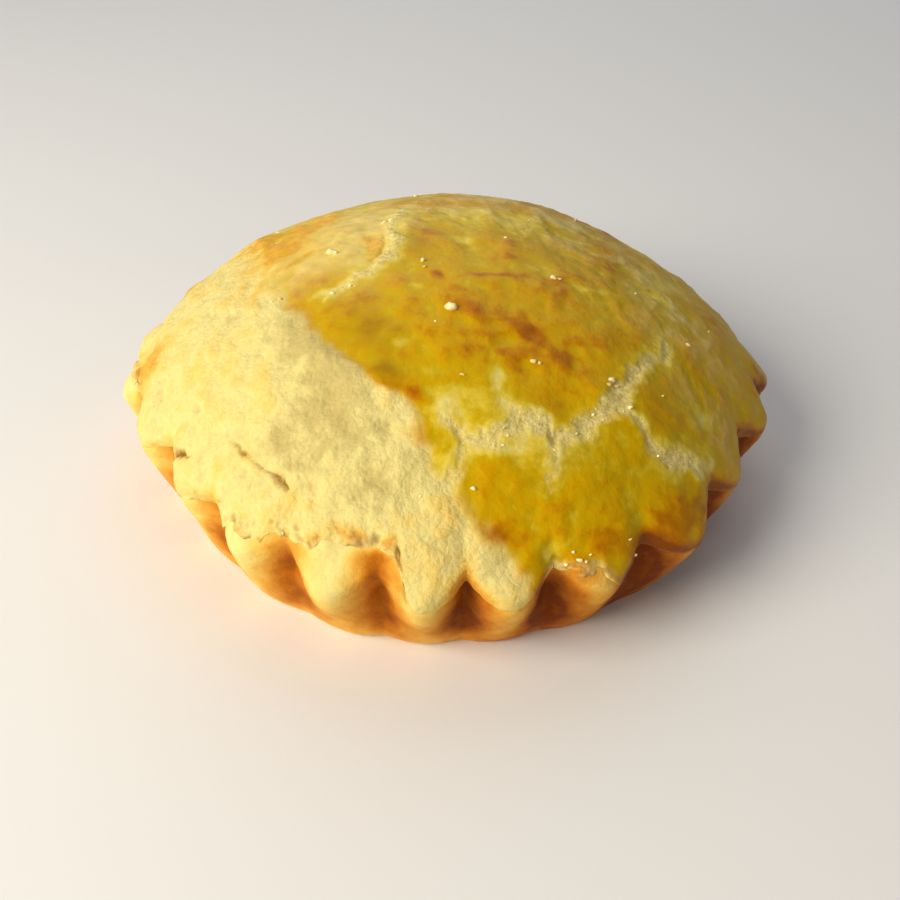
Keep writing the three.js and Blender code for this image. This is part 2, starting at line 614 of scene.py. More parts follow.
    def outer_side(self, along: Array, direction: Array) -> tuple[Array, Array, Array]:
        """The pie's outer side, from the top down over the rim.

        Args:
            along: lengths along it from the top, in mm.
            direction: directions, before the flutes drift.

        Returns:
            The radius, the height and the slope in radians at each.
        """
        radius, height, length, slope = self.dome()
        start, bend, first_slope, _ = self.turn_down(direction)
        turning = bend * (first_slope - self.rim.steepest)
        on_dome = np.minimum(along, start)
        turned = first_slope - np.clip(along - start, 0.0, turning) / bend
        straight = np.maximum(along - start - turning, 0.0)
        out = np.interp(on_dome, length, radius) + bend * (np.sin(first_slope) - np.sin(turned))
        up = np.interp(on_dome, length, height) + bend * (np.cos(turned) - np.cos(first_slope))
        out += straight * math.cos(self.rim.steepest)
        up += straight * math.sin(self.rim.steepest)
        above = np.maximum(start + turning - along, 0.0)
        out -= self.rim.valley * bell(above, self.rim.valley_reach) * (1.0 - self.wave(direction))
        return out, up, np.where(along < start, np.interp(on_dome, length, slope), turned)

    def lid_end(self, direction: Array) -> Array:
        """The length from the top to the lid's edge, torn or not."""
        torn = self.dome()[2][-1] + self.torn_from - self.pulled_back(direction)
        return np.minimum(self.turn_down(direction)[3], torn)

    def place(self, out: Array, up: Array, direction: Array) -> Array:
        """Places radii and heights on the pie, with the hand's dents, swells and drift.

        Args:
            out: radii, in mm.
            up: heights, in mm.
            direction: directions, before the flutes drift.

        Returns:
            The places.
        """
        near_rim = np.clip(up / self.rim_height, 0.0, 1.0)
        up = up + self.swell(out, direction) * smoothstep(*self.swells_between, up)
        reach = np.clip(out / mix(self.underside_radius, self.rim_radius, near_rim), 0.0, 1.05) ** 3
        out = out - self.dent(direction) * mix(self.dented_below, 1.0, near_rim) * reach
        turned = np.radians(self.drifted(direction))
        return np.column_stack([out * np.cos(turned), out * np.sin(turned), up])


# ---------------------------------------------------------------------------------------------
# What lies on the lid: egg wash, browning, cracks
# ---------------------------------------------------------------------------------------------


@dataclass(frozen=True)
class Patch:
    """A soft-edged oval on the dome, seen from above: its middle, half-axes, turn and strength."""

    x: float
    y: float
    long: float
    short: float
    turn: float
    strength: float

    def at(self, plan: Array) -> Array:
        """How strong it is at points.

        Args:
            plan: points seen from above.

        Returns:
            Its strength at each.
        """
        turn = math.radians(self.turn)
        away = plan - np.array([self.x, self.y])
        along = away @ np.array([math.cos(turn), math.sin(turn)])
        across = away @ np.array([-math.sin(turn), math.cos(turn)])
        return self.strength * bell(along, self.long) * bell(across, self.short)


def patches(*rows: Sequence[float]) -> tuple[Patch, ...]:
    """Makes patches from their numbers, in the order of a patch's fields."""
    return tuple(Patch(*row) for row in rows)


def total(some: Sequence[Patch], plan: Array) -> Array:
    """The summed strength of patches at points seen from above."""
    return sum(patch.at(plan) for patch in some)


def nearest_on(path: Sequence[Sequence[float]], plan: Array) -> tuple[Array, Array]:
    """Finds the nearest place on a path.

    Args:
        path: corners seen from above, each with a value.
        plan: points seen from above.

    Returns:
        For each point, how far away the path is, and the path's value there.
    """
    away = np.full(len(plan), 1e9)
    value = np.zeros(len(plan))
    for start, end in zip(path[:-1], path[1:]):
        a, b = np.array(start[:2]), np.array(end[:2])
        run = b - a
        share = np.clip((plan - a) @ run / (run @ run), 0.0, 1.0)
        distance = np.linalg.norm(plan - (a + share[:, None] * run), axis=1)
        nearer = distance < away
        away = np.where(nearer, distance, away)
        value = np.where(nearer, mix(start[2], end[2], share), value)
    return away, value


@dataclass(frozen=True)
class Crack:
    """A line where the crust split: places seen from above, each with the crack's width there.

    Its depth is mm, and bare is the share of crumb that shows in it.
    """

    path: tuple[tuple[float, float, float], ...]
    depth: float = 0.5
    bare: float = 1.0

    def cover(self, plan: Array) -> Array:
        """How far inside the crack points are, in mm. It is negative outside."""
        away, width = nearest_on(self.path, plan)
        return width / 2 - away


@dataclass(frozen=True)
class LidMarks:
    """Where the lid is egg-washed, browned, thinly brushed, raised and split, as seen from above."""

    # each corner with how gradually the egg wash ends there
    wash_edge: tuple[tuple[float, float, float], ...] = (
        (-36, 34, 4.0), (-31, 14, 4.0), (-30.5, 2, 4.0), (-28.5, -6, 3.0), (-25, -9.5, 1.8),
        (-22.8, -13.5, 0.9), (-20.3, -15.9, 0.7), (-18.2, -20, 0.6), (-15.4, -24, 0.6), (-12.1, -27, 0.5),
        (-8.8, -30.4, 0.5), (-5.9, -31.5, 0.6), (-3.5, -34.6, 0.9), (-2.3, -38, 1.4), (-1.3, -40.4, 1.3),
        (1.4, -41.9, 1.3), (2.7, -43.8, 1.4), (4.6, -46.2, 1.6), (8, -48.6, 1.5), (12, -50.5, 1.0),
        (16, -56, 1.0), (60, -50, 1.0), (66, 0, 1.0), (50, 50, 1.0), (0, 66, 2.0), (-28, 56, 4.0),
        (-36, 34, 4.0),
    )  # fmt: skip
    # where the washed crust is browner, or paler where the strength is negative
    browned: tuple[Patch, ...] = patches(
        (10, -20, 12, 6, -22, 0.3), (-14, -14, 8, 9, 30, 0.02), (14, -25, 9, 5, -15, 0.22),
        (8.4, -9, 5, 0.9, 4, 0.6), (12, -7.9, 3.4, 0.8, 8, 0.36), (9, -4.3, 4.9, 1, 16, 0.35),
        (16.6, -8.6, 1.9, 1, 14, 0.72), (17.5, -10.2, 1.3, 0.8, 0, 0.5),
        (17.4, -13.2, 3.2, 2.4, -30, 0.3), (26.6, -16.2, 2.4, 1.7, -20, 0.36),
        (12, -19.9, 2.2, 1.6, -35, 0.95), (13.4, -21.4, 1.7, 1.2, -30, 0.43),
        (17.6, -22.2, 1.7, 1.5, 40, 0.55), (19.2, -24.4, 2, 1.4, -20, 0.55), (20, -19.2, 2.2, 1, 0, 0.3),
        (6, -24.6, 4, 1.4, -3, 0.36), (10, -26, 2, 1.2, -20, 0.4), (4.2, -17.9, 4.5, 1.2, -2, 0.25),
        (-1, -10.3, 1.5, 0.9, -15, 0.8), (-2.4, -12.6, 4, 0.8, 10, 0.2), (-8.8, -28.4, 3, 2, -45, -0.36),
        (-5.2, -26, 2.6, 1, -6, 0.22), (-4.2, -31.6, 1.5, 1.3, 0, 0.95), (14.5, -30.6, 3.4, 1.4, 0, 0.32),
        (8.4, -46.5, 4.3, 1.3, -4, 0.8), (-20.8, -13.4, 2.7, 1.6, -50, 0.45),
        (-19, -9.4, 2.4, 1.4, 0, 0.4), (-3.2, 1.2, 2.2, 1.6, 60, 0.3), (17, 5, 1.2, 4, 10, 0.25),
        (21.2, -45, 5, 1.8, 18, 0.36), (30.5, -40.6, 5, 2.1, 35, 0.5), (36.2, -35.4, 5, 2, 50, 0.5),
        (27, 1.6, 2.9, 1.8, 50, 0.29), (44, 3, 5, 2.2, 80, 0.5), (8, 21, 12, 5, 10, 0.4),
        (24, 24, 6, 3, -30, 0.6), (-9, 31, 7, 3, 15, 0.5), (2, 40, 9, 2.6, 0, 0.5),
    )  # fmt: skip
    # where the wash is thinner, and so a paler yellow; the broad pale patches on the back and the right
    # flank are a painted sheen
    thin_wash_and_sheen: tuple[Patch, ...] = patches(
        (9.5, -37, 7.5, 2.4, 0, 0.8), (6.5, -31.8, 5.5, 1.6, -4, 0.8), (0.5, -33.2, 2.6, 1.4, -20, 0.8),
        (7.6, -28.4, 1.2, 2.4, 10, 0.75), (-6.6, -23.8, 1.8, 0.9, -10, 0.55),
        (3.8, -12.9, 1.5, 1, 0, 0.6), (1.3, -9.9, 1.5, 0.6, 20, 0.6), (-5.2, -12.8, 1.8, 0.7, 10, 0.5),
        (5, 8.5, 12, 4, 5, 0.7), (3.4, 0.5, 5, 1, 12, 0.4), (22, -7.8, 5.5, 0.7, 16, 0.6),
        (34, 2, 9, 5, 60, 0.45), (38, -23, 2.6, 1.5, 45, 0.7), (16, -46, 3, 1, 25, 0.5),
        (3.2, -46.4, 3, 2, -40, 0.6), (0, -40, 2, 1.2, -60, 0.5), (20.5, -39, 4, 1.2, 60, 0.35),
        (-17.3, -2.4, 1.4, 1, 80, 0.8), (-14.9, 1.4, 0.8, 1.3, 0, 0.5), (-17, -11.6, 2.8, 0.9, 15, 0.7),
        (-12.6, -4, 1.2, 4, -20, 0.7), (-12, 24, 8, 4, 40, 0.6), (26, 34, 7, 3, -45, 0.5),
    )  # fmt: skip
    # where the wash was wiped on so thinly that the baked dough shows through
    wiped: tuple[Patch, ...] = patches(
        (-23, 1, 8, 9, 0, 1.2), (-19, 10, 10, 9, 0, 1.2), (-13, 2, 4, 8, 0, 0.8),
        (-26, 28, 12, 10, 40, 1),
    )  # fmt: skip
    # where the wash dried to a matt skin, which is partly a painted sheen: a pale film over the gold on the
    # top, the back and the right flank
    dull_and_sheen_patches: tuple[Patch, ...] = patches(
        (5, 9, 15, 5, 5, 0.9), (35, -2, 9, 16, 20, 1), (12, 23, 20, 9, 0, 1), (22, 10, 9, 7, -30, 0.8),
        (-10, 14, 8, 6, 30, 0.6), (40, -22, 5, 5, 0, 0.6), (-12, -1, 4, 10, 0, 0.6),
    )  # fmt: skip
    # where the wash pooled
    pooled: tuple[Patch, ...] = patches(
        (-10.6, -22.2, 5.6, 5, -40, 0.42), (-16, -15.5, 4.5, 5.5, 40, 0.16),
        (-7.6, -28.6, 2.4, 1.5, -45, 0.28), (-5, -1, 2.4, 4, 0, 0.22),
    )  # fmt: skip
    # where the bare dough is toasted
    toasted: tuple[Patch, ...] = patches(
        (-25.5, -22.5, 2, 5, 20, 0.1), (-33, -18, 3, 5, 30, 0.1), (-29.5, -7, 3, 6, 20, 0.08),
        (-22, -28, 3, 2, 30, 0.12), (-17, -20.5, 4, 7, 40, -0.3), (-14, -30, 7, 6, -40, -0.26),
        (-27.5, 6.5, 5, 6, 20, 0.32), (-23, 14, 7, 6, 40, 0.26), (-26, 2, 4, 1.4, 30, 0.22),
        (-23.5, -2, 3.4, 1.2, 35, 0.25), (-11.6, -1.6, 1.4, 3.6, 8, 0.35), (-8, -50, 14, 5, 0, 0.04),
        (-31.5, 12, 2.6, 4, 10, 0.2), (-21, -35.5, 3, 2, -40, -0.2), (-20, -19, 8, 12, 30, -0.16),
        (-8, -42, 8, 6, 0, -0.14), (-47, -8, 3, 4, 0, 0.4), (-48, 16, 4, 8, 0, 0.3),
    )  # fmt: skip
    # where the crust stands up by this many mm, or sinks in
    raised: tuple[Patch, ...] = patches(
        (-27.4, -37, 7, 1.9, -45, 0.8), (-24, -33.2, 5.5, 2.2, -42, 0.2), (-6.6, 1, 2.4, 8, 4, 0.45),
        (-12, 1, 2, 9, 4, -0.3), (-31.5, 12, 2.4, 5, 10, 0.5), (-24.5, -11.5, 2.4, 1.8, 20, 0.4),
        (-16.5, -20.5, 6, 2.5, -52, -0.2), (21, -27, 4, 2.4, -50, 0.25), (28, -26, 3, 2.2, -50, 0.2),
        (8, -10.6, 8, 1.4, 6, 0.16), (9, -6.4, 7, 1.2, 10, 0.12), (-25, 22, 14, 9, 40, -0.35),
    )  # fmt: skip
    # splits that show dry crumb; where the depth is negative the crumb stands up
    cracks: tuple[Crack, ...] = (
        Crack(
            (
                (33.1, -13.0, 0.4), (33.0, -14.8, 0.8), (32.3, -16.7, 0.8), (30.2, -17.5, 0.8),
                (29.2, -18.8, 1.1), (28.2, -20.6, 1.4), (26.9, -22.9, 1.5), (25.6, -25.0, 1.8),
                (24.7, -26.8, 3.6), (23.9, -28.3, 3.4), (22.3, -29.9, 1.8), (20.8, -31.4, 2.0),
                (19.4, -32.9, 2.4), (17.4, -34.4, 1.6), (15.3, -35.2, 1.4),
            ),
            0.6,
        ),
        Crack(
            (
                (15.3, -35.0, 1.6), (13.9, -33.8, 2.4), (12.3, -33.4, 2.2), (10.6, -33.8, 2.6),
                (9.3, -34.8, 1.8), (7.4, -35.9, 1.6), (6.6, -37.1, 1.8), (5.2, -36.8, 1.4),
                (3.7, -37.4, 1.6), (2.4, -36.3, 1.6), (1.2, -35.5, 1.2), (-0.2, -34.6, 0.8),
            ),
            0.35,
        ),
        Crack(((2.7, -37.2, 1.1), (2.5, -38.9, 1.2), (2.6, -40.6, 0.9), (0.8, -42.0, 1.0)), 0.28, 0.8),
        Crack(((15.2, -35.4, 1.1), (14.9, -37.0, 0.7), (15.1, -38.7, 0.8), (14.2, -40.6, 0.5)), 0.32, 0.8),
        Crack(
            (
                (24.9, -28.9, 1.4), (26.9, -29.1, 1.3), (28.2, -30.4, 1.5), (29.2, -32.0, 1.8),
                (30.7, -32.9, 1.5), (32.2, -32.4, 2.5), (33.8, -31.2, 2.8), (35.4, -30.8, 2.0),
                (37.2, -30.1, 1.0), (39.0, -28.6, 0.5),
            ),
            0.45,
        ),
        Crack(
            (
                (-7.2, 12.5, 0.8), (-8.6, 9.4, 2.6), (-8.4, 7.0, 1.2), (-9.0, 4.6, 2.0), (-8.7, 2.0, 1.2),
                (-8.0, -0.6, 2.8), (-8.6, -3.2, 1.7), (-9.2, -5.2, 2.7), (-10.4, -7.4, 1.3),
                (-12.4, -9.3, 1.8), (-14.2, -11.2, 0.9), (-15.8, -12.0, 1.2), (-17.6, -13.2, 0.4),
            ),
            -0.45,
            1.0,
        ),
        Crack(((13.9, 12.5, 0.6), (13.2, 8.2, 1.1), (12.2, 5.8, 0.8), (11.5, 3.0, 0.4)), 0.2, 0.5),
        Crack(
            (
                (-4.0, 22.0, 0.8), (0.5, 25.5, 1.4), (5.5, 26.5, 1.2), (9.5, 30.0, 2.6), (15.0, 31.0, 1.6),
                (20.5, 35.0, 1.0),
            ),
            0.5,
        ),
        Crack(((9.5, 30.5, 1.4), (8.0, 35.0, 1.8), (10.0, 39.5, 1.4), (8.5, 43.0, 0.8)), 0.45),
        Crack(((-28.0, 25.0, 0.8), (-24.0, 30.0, 1.6), (-18.5, 33.0, 1.2), (-16.0, 37.0, 0.7)), 0.4),
        Crack(((39.0, 12.0, 0.6), (37.0, 17.5, 1.6), (32.5, 21.0, 1.3), (31.0, 25.5, 0.7)), 0.45),
    )  # fmt: skip
    # folds that closed again: slits with no crumb showing
    creases: tuple[Crack, ...] = (
        Crack(
            (
                (-29.6, -31.2, 0.0), (-28.6, -32.4, 0.1), (-27.2, -34.0, 0.3), (-25.8, -35.4, 0.0),
                (-24.2, -36.8, 0.0), (-22.7, -38.1, 0.2), (-21.2, -39.4, 0.6), (-20.6, -40.2, 0.2),
            ),
            0.65,
        ),
        Crack(((-34.0, 38.0, 0.3), (-31.0, 36.0, 0.6), (-28.5, 35.4, 0.3)), 0.8),
        Crack(((-10.2, 2.0, 0.0), (-9.9, -1.0, 0.2), (-10.3, -3.6, 0.3), (-11.4, -6.0, 0.0)), 0.4),
        Crack(((-42.4, -23.8, 0.1), (-40.6, -25.4, 0.4), (-38.4, -27.4, 0.4), (-36.8, -29.0, 0.0)), 0.75),
        Crack(((-35.6, -33.2, 0.0), (-33.6, -34.6, 0.2), (-32.4, -36.0, 0.3), (-30.6, -36.8, 0.0)), 0.5),
    )  # fmt: skip

    def wash(self, plan: Array) -> tuple[Array, Array]:
        """How far inside the egg-washed part points are, and how gradually it ends near them.

        Args:
            plan: points seen from above.

        Returns:
            The distance, which is negative outside, and the half-width of the edge, both in mm.
        """
        inside = np.zeros(len(plan), dtype=bool)
        for (ax, ay, _), (bx, by, _) in zip(self.wash_edge[:-1], self.wash_edge[1:]):
            spans = (ay > plan[:, 1]) != (by > plan[:, 1])
            share = (plan[:, 1] - ay) / (by - ay if by != ay else 1.0)
            inside ^= spans & (plan[:, 0] < ax + share * (bx - ax))
        away, softness = nearest_on(self.wash_edge, plan)
        return np.where(inside, away, -away), softness


# ---------------------------------------------------------------------------------------------
# Finishes
# ---------------------------------------------------------------------------------------------

Stops = tuple[tuple[float, str], ...]

# baked dough, from hardly coloured to dark
DOUGH: Stops = (
    (0.0, "#CDB872"),
    (0.22, "#EBDA8C"),
    (0.42, "#EFCB68"),
    (0.58, "#E5A63E"),
    (0.78, "#BF6F12"),
    (1.0, "#7A3404"),
)


def new_material(name: str) -> bpy.types.Material:
    """Makes a material with an empty tree.

    Args:
        name: the material's name.

    Returns:
        The material.
    """
    material = bpy.data.materials.new(name)
    material.use_nodes = True
    material.node_tree.nodes.clear()
    return material


@dataclass(frozen=True)
class EggWashedShortcrust:
    """Shortcrust baked on top with egg wash over most of it.

    Bare, it is matt and sandy, from a greyish cream to a toasted yellow. The wash turns it golden, a
    darker gold where it pooled and amber where it browned, and a little glossy. The amber on the edge
    to the right and between the lobes is partly painted shade, and the pale matt patches on the top,
    the back and the right flank are partly a painted sheen. Cracks show dry crumb, and slits, pits and
    holes carry a painted shade, a dark brown where light would not reach into them. Widths are mm.
    """

    bare: Stops = DOUGH
    washed: Stops = (
        (0.0, "#E8D67C"),
        (0.2, "#DEC238"),
        (0.36, "#CCA804"),
        (0.5, "#D09E00"),
        (0.64, "#C28200"),
        (0.8, "#AE6604"),
        (1.0, "#844004"),
    )
    crumb: Stops = ((0.3, "#CDB460"), (0.5, "#EAD585"), (0.7, "#F8EAA8"))
    pool: str = "#8A6C00"
    # a dark brown, painted shade for the insides of slits, pits and holes
    recess_shade: str = "#8A5600"
    # flecks a little over a mm wide, which fat and flour leave
    speckle: float = 1.3
    # the sandy grain is flour and fat of about 0.2 mm, too fine to show, so it is drawn coarser
    grit: float = 0.9
    # and so are the flakes of the crumb, about 0.3 mm in a real crack
    crumb_grain: float = 0.6
    # how much the speckle browns the bare and the washed crust
    uneven: tuple[float, float] = (0.4, 0.44)
    # the roughness of bare and of washed crust
    roughness: tuple[float, float] = (0.85, 0.45)
    # the grain's bump where it is bare and where wash binds it, and its height
    bump: tuple[float, float] = (0.8, 0.25)
    bump_height: float = 0.5

    def make(self) -> bpy.types.Material:
        """Builds the material, which reads the attributes wash, seal, pool, bake, toast, crumb and deep.

        Returns:
            The material.
        """
        material = new_material("shortcrust_egg_washed")
        tree = material.node_tree
        place = add_node(tree, "ShaderNodeTexCoord", output=3)
        wash, seal, pool, bake_and_shade, toast_and_shade, crumb, recess_shade = (
            add_node(tree, ATTRIBUTE, {"attribute_name": name}, output=2)
            for name in ("wash", "seal", "pool", "bake_and_shade", "toast_and_shade", "crumb", "recess_shade")
        )
        rough = {"Vector": place, "Detail": 5.0, "Roughness": 0.7}
        speckle, grit, grain = (
            add_node(tree, NOISE, {}, {"Scale": 1 / (size * MM), **rough})
            for size in (self.speckle, self.grit, self.crumb_grain)
        )
        uneven = add_node(tree, MATHS, {"operation": "SUBTRACT"}, {0: speckle, 1: 0.5})
        colours = []
        for level, amount, stops in zip((toast_and_shade, bake_and_shade), self.uneven, (self.bare, self.washed)):
            inputs = {0: uneven, 1: amount, 2: level}
            value = add_node(tree, MATHS, {"operation": "MULTIPLY_ADD"}, inputs)
            colours.append(add_node(tree, RAMP, {}, {"Fac": value}))
            fill_ramp(colours[-1].node.color_ramp, stops)
        bare, washed = colours
        crumbly = add_node(tree, RAMP, {}, {"Fac": grain})
        fill_ramp(crumbly.node.color_ramp, self.crumb)
        golden = add_node(tree, BLEND, COLOURS, {0: pool, 6: washed, 7: linear(self.pool)}, 2)
        baked = add_node(tree, BLEND, COLOURS, {0: wash, 6: bare, 7: golden}, 2)
        shown = add_node(tree, BLEND, COLOURS, {0: crumb, 6: baked, 7: crumbly}, 2)
        # painted shade: slits, pits and holes turn dark brown inside
        base = add_node(tree, BLEND, COLOURS, {0: recess_shade, 6: shown, 7: linear(self.recess_shade)}, 2)

        closed = add_node(tree, MATHS, {"operation": "SUBTRACT"}, {0: 1.0, 1: crumb})
        glossy = add_node(tree, MATHS, {"operation": "MULTIPLY"}, {0: wash, 1: closed})
        roughness, strength = (
            add_node(tree, RANGE, {}, {"Value": value, "To Min": ends[0], "To Max": ends[1]})
            for value, ends in ((glossy, self.roughness), (seal, self.bump))
        )
        inputs = {"Vector": place, "Scale": 1 / (self.grit * MM)}
        grains = add_node(tree, "ShaderNodeTexVoronoi", {}, inputs)
        height = add_node(tree, MATHS, {"operation": "MULTIPLY_ADD"}, {0: grains, 1: -0.35, 2: grit})
        inputs = {"Strength": strength, "Distance": self.bump_height * MM, "Height": height}
        bump = add_node(tree, "ShaderNodeBump", {}, inputs)
        inputs = {
            "Base Color": base,
            "Roughness": roughness,
            "Normal": bump,
            "IOR": 1.45,
            "Specular IOR Level": 0.22,
            "Specular Tint": linear("#FFDF90"),
            "Subsurface Weight": 0.08,
            "Subsurface Radius": (1.0, 0.5, 0.1),
            "Subsurface Scale": 1.5 * MM,
        }
        surface = add_node(tree, SHADER, {}, inputs)
        add_node(tree, "ShaderNodeOutputMaterial", {}, {"Surface": surface})
        return material


@dataclass(frozen=True)
class TinBakedShortcrust:
    """Shortcrust baked against a tin: smooth, matt and even, pale on the ridges, brown in the hollows,
    where the brown is partly baking and partly painted shade between the ridges.

    Widths are mm.
    """

    baked: Stops = DOUGH
    # soft blotches about 2 mm wide
    mottle: float = 1.8
    # the tin pressed the sandy grain of about 0.2 mm flat; what is left of it is drawn coarser to show
    grit: float = 0.9
    uneven: float = 0.25
    roughness: float = 0.65
    bump: float = 0.5
    bump_height: float = 0.4

    def make(self) -> bpy.types.Material:
        """Builds the material, which reads the attribute toast.

        Returns:
            The material.
        """
        material = new_material("shortcrust_tin_baked")
        tree = material.node_tree
        place = add_node(tree, "ShaderNodeTexCoord", output=3)
        toast_and_shade = add_node(tree, ATTRIBUTE, {"attribute_name": "toast_and_shade"}, output=2)
        soft = {"Vector": place, "Detail": 3.0, "Roughness": 0.6}
        mottle, grit = (
            add_node(tree, NOISE, {}, {"Scale": 1 / (size * MM), **soft})
            for size in (self.mottle, self.grit)
        )
        blotches = add_node(tree, MATHS, {"operation": "SUBTRACT"}, {0: mottle, 1: 0.5})
        inputs = {0: blotches, 1: self.uneven, 2: toast_and_shade}
        level = add_node(tree, MATHS, {"operation": "MULTIPLY_ADD"}, inputs)
        base = add_node(tree, RAMP, {}, {"Fac": level})
        fill_ramp(base.node.color_ramp, self.baked)
        inputs = {"Strength": self.bump, "Distance": self.bump_height * MM, "Height": grit}
        bump = add_node(tree, "ShaderNodeBump", {}, inputs)
        inputs = {
            "Base Color": base,
            "Roughness": self.roughness,
            "Normal": bump,
            "IOR": 1.45,
            "Specular IOR Level": 0.2,
            "Specular Tint": linear("#FFE0A0"),
            "Subsurface Weight": 0.08,
            "Subsurface Radius": (1.0, 0.45, 0.1),
            "Subsurface Scale": 1.5 * MM,
        }
        surface = add_node(tree, SHADER, {}, inputs)
        add_node(tree, "ShaderNodeOutputMaterial", {}, {"Surface": surface})
        return material


@dataclass(frozen=True)
class DryCrumb:
    """Loose crumbs of baked dough: dry, matt and pale, each a little lighter or darker."""

    colours: Stops = ((0.3, "#DDB968"), (0.55, "#FAEEB8"))
    # mm: as wide as a crumb, so that each gets a colour of its own
    patch: float = 1.2
    roughness: float = 0.85

    def make(self) -> bpy.types.Material:
        """Builds the material.

        Returns:
            The material.
        """
        material = new_material("baked_crumbs")
        tree = material.node_tree
        place = add_node(tree, "ShaderNodeTexCoord", output=3)
        inputs = {"Vector": place, "Scale": 1 / (self.patch * MM), "Detail": 2.0}
        noise = add_node(tree, NOISE, {}, inputs)
        base = add_node(tree, RAMP, {}, {"Fac": noise})
        fill_ramp(base.node.color_ramp, self.colours)
        inputs = {"Base Color": base, "Roughness": self.roughness, "Specular IOR Level": 0.25}
        surface = add_node(tree, SHADER, {}, inputs)
        add_node(tree, "ShaderNodeOutputMaterial", {}, {"Surface": surface})
        return material


# ---------------------------------------------------------------------------------------------
# The lid
# ---------------------------------------------------------------------------------------------


@dataclass
class LidCrust:
    """The lid's outside, place by place: where it split, how it is washed and baked, how it rises.

    Each array holds a value for each place: where that is on the smooth lid, how far along the way
    from the top to the end of the edge, in which direction before the flutes drift, and how many mm
    above the lid's edge. A property that says where something is has shares from 0 to 1.
    """

    form: PieForm
    marks: LidMarks
    at: Array
    share: Array
    direction: Array
    above: Array

    def layer(self, lumps: Lumps) -> Array:
        """A layer of the dough's noise at the places."""
        return self.form.dough.at(self.at, lumps)

    @cached_property
    def plan(self) -> Array:
        """The places seen from above."""
        return self.at[:, :2]

    @cached_property
    def broad(self) -> Array:
        """The widest lumps."""
        return self.layer(BROAD)

    @cached_property
    def patchy(self) -> Array:
        """Lumps a few mm wide, with which nearly everything wavers."""
        return self.layer(PATCHY)

    @cached_property
    def fine(self) -> Array:
        """The finest lumps, which fray outlines and speckle colours."""
        return self.layer(FINE) + 0.3 * self.layer(FINER)

    @cached_property
    def brush(self) -> Array:
        """Streaks that the brush left, nearly along X."""
        streaks = [self.plan @ (0.12, 0.02), self.plan @ (-0.14, 1.0), self.at[:, 2] * 0.3]
        return self.form.dough.at(np.column_stack(streaks), STREAKED)

    @cached_property
    def sway(self) -> Array:
        """How outlines wander widely."""
        return self.form.dough.sway(self.at, SWAYING)

    @cached_property
    def fret(self) -> Array:
        """How outlines wander closely."""
        return self.form.dough.sway(self.at, FRETTED)

    @cached_property
    def loose(self) -> Array:
        """The places seen from above, shifted so that ovals get uneven outlines."""
        return self.plan + self.sway * 0.8 + self.fret * 0.4

    @cached_property
    def torn(self) -> Array:
        """Where the edge is torn back."""
        return self.form.torn_share(self.direction)

    @cached_property
    def on_edge(self) -> Array:
        """The lid's edge."""
        return smoothstep(2.2, 0.0, self.above)

    @cached_property
    def in_hollow(self) -> Array:
        """The hollows between the lobes of the edge, where it is whole; their colour is browned partly as
        painted shade.
        """
        return smoothstep(4.2, 0.8, self.above) * (1.0 - self.form.wave(self.direction)) * (1.0 - self.torn)

    @cached_property
    def seam(self) -> Array:
        """The last few mm above a torn edge."""
        return self.torn * smoothstep(3.2, 0.5, self.above)

    @cached_property
    def split(self) -> tuple[Array, Array, Array]:
        """Where the crust split in cracks.

        Returns:
            How much crumb shows, how near it is, and how far the split raises the crust.
        """
        crumb, near, rise = (np.zeros(len(self.at)) for _ in range(3))
        for crack in self.marks.cracks:
            cover = crack.cover(self.plan + self.fret * 0.7 + self.sway * 0.35) + 0.3 * self.fine
            crumb = np.maximum(crumb, crack.bare * smoothstep(-0.7, 0.7, cover))
            near = np.maximum(near, crack.bare * bell(np.minimum(cover, 0.0), 1.5))
            rise += crack.depth * (0.15 * bell(cover + 0.5, 0.5) - 0.5 * smoothstep(-0.5, 1.2, cover))
        return crumb, near, rise

    @cached_property
    def slit(self) -> Array:
        """Where the creases cut in.

        Returns:
            How far they cut in, in mm.
        """
        slit = np.zeros(len(self.at))
        for crease in self.marks.creases:
            cover = crease.cover(self.plan + self.fret * 0.3)
            slit = np.maximum(slit, crease.depth * smoothstep(-0.3, 0.25, cover))
        return slit

    @cached_property
    def dull_and_sheen(self) -> Array:
        """Where the wash dried to a matt skin, partly a painted sheen that pales the gold."""
        return np.clip(total(self.marks.dull_and_sheen_patches, self.loose), 0.0, 1.0)

    @cached_property
    def wrinkles(self) -> Array:
        """The narrow ridges in which the wash's skin wrinkled; along them the matt patches are paler, a
        painted highlight.
        """
        folds = self.form.dough.at(np.column_stack([self.loose * (0.7, 1.0), self.at[:, 2]]), WRINKLED)
        return (1.0 - np.clip(np.abs(folds), 0.0, 1.0)) ** 7

    @cached_property
    def seal(self) -> Array:
        """Where any wash lies, however thinly, and binds the sandy grain."""
        distance, softness = self.marks.wash(self.plan + self.sway * 0.4 + self.fret * 0.35)
        return smoothstep(-1.0, 1.0, distance / softness + 0.5 * self.patchy + 0.3 * self.fine)

    @cached_property
    def wash(self) -> Array:
        """Where the wash colours the crust: less where it was wiped on thinly, and less on the matt skin
        and its painted sheen.

        Returns:
            How much of the colour is the wash's.
        """
        wiped = np.clip(total(self.marks.wiped, self.plan + self.sway * 2.0), 0.0, 1.0)
        wiped *= np.clip(0.72 + 0.3 * self.patchy + 0.3 * self.fine + 0.2 * self.brush, 0.0, 1.0)
        # the matt patches are partly a dried skin of wash and partly a painted sheen, paler along the
        # wrinkles as painted highlights
        veil = 0.8 * self.layer(VEILED) + 0.5 * self.patchy + 0.3 * self.fine + 0.4 * self.wrinkles
        return self.seal * (1.0 - wiped) * (1.0 - 0.75 * self.dull_and_sheen * smoothstep(-0.35, 0.75, veil))

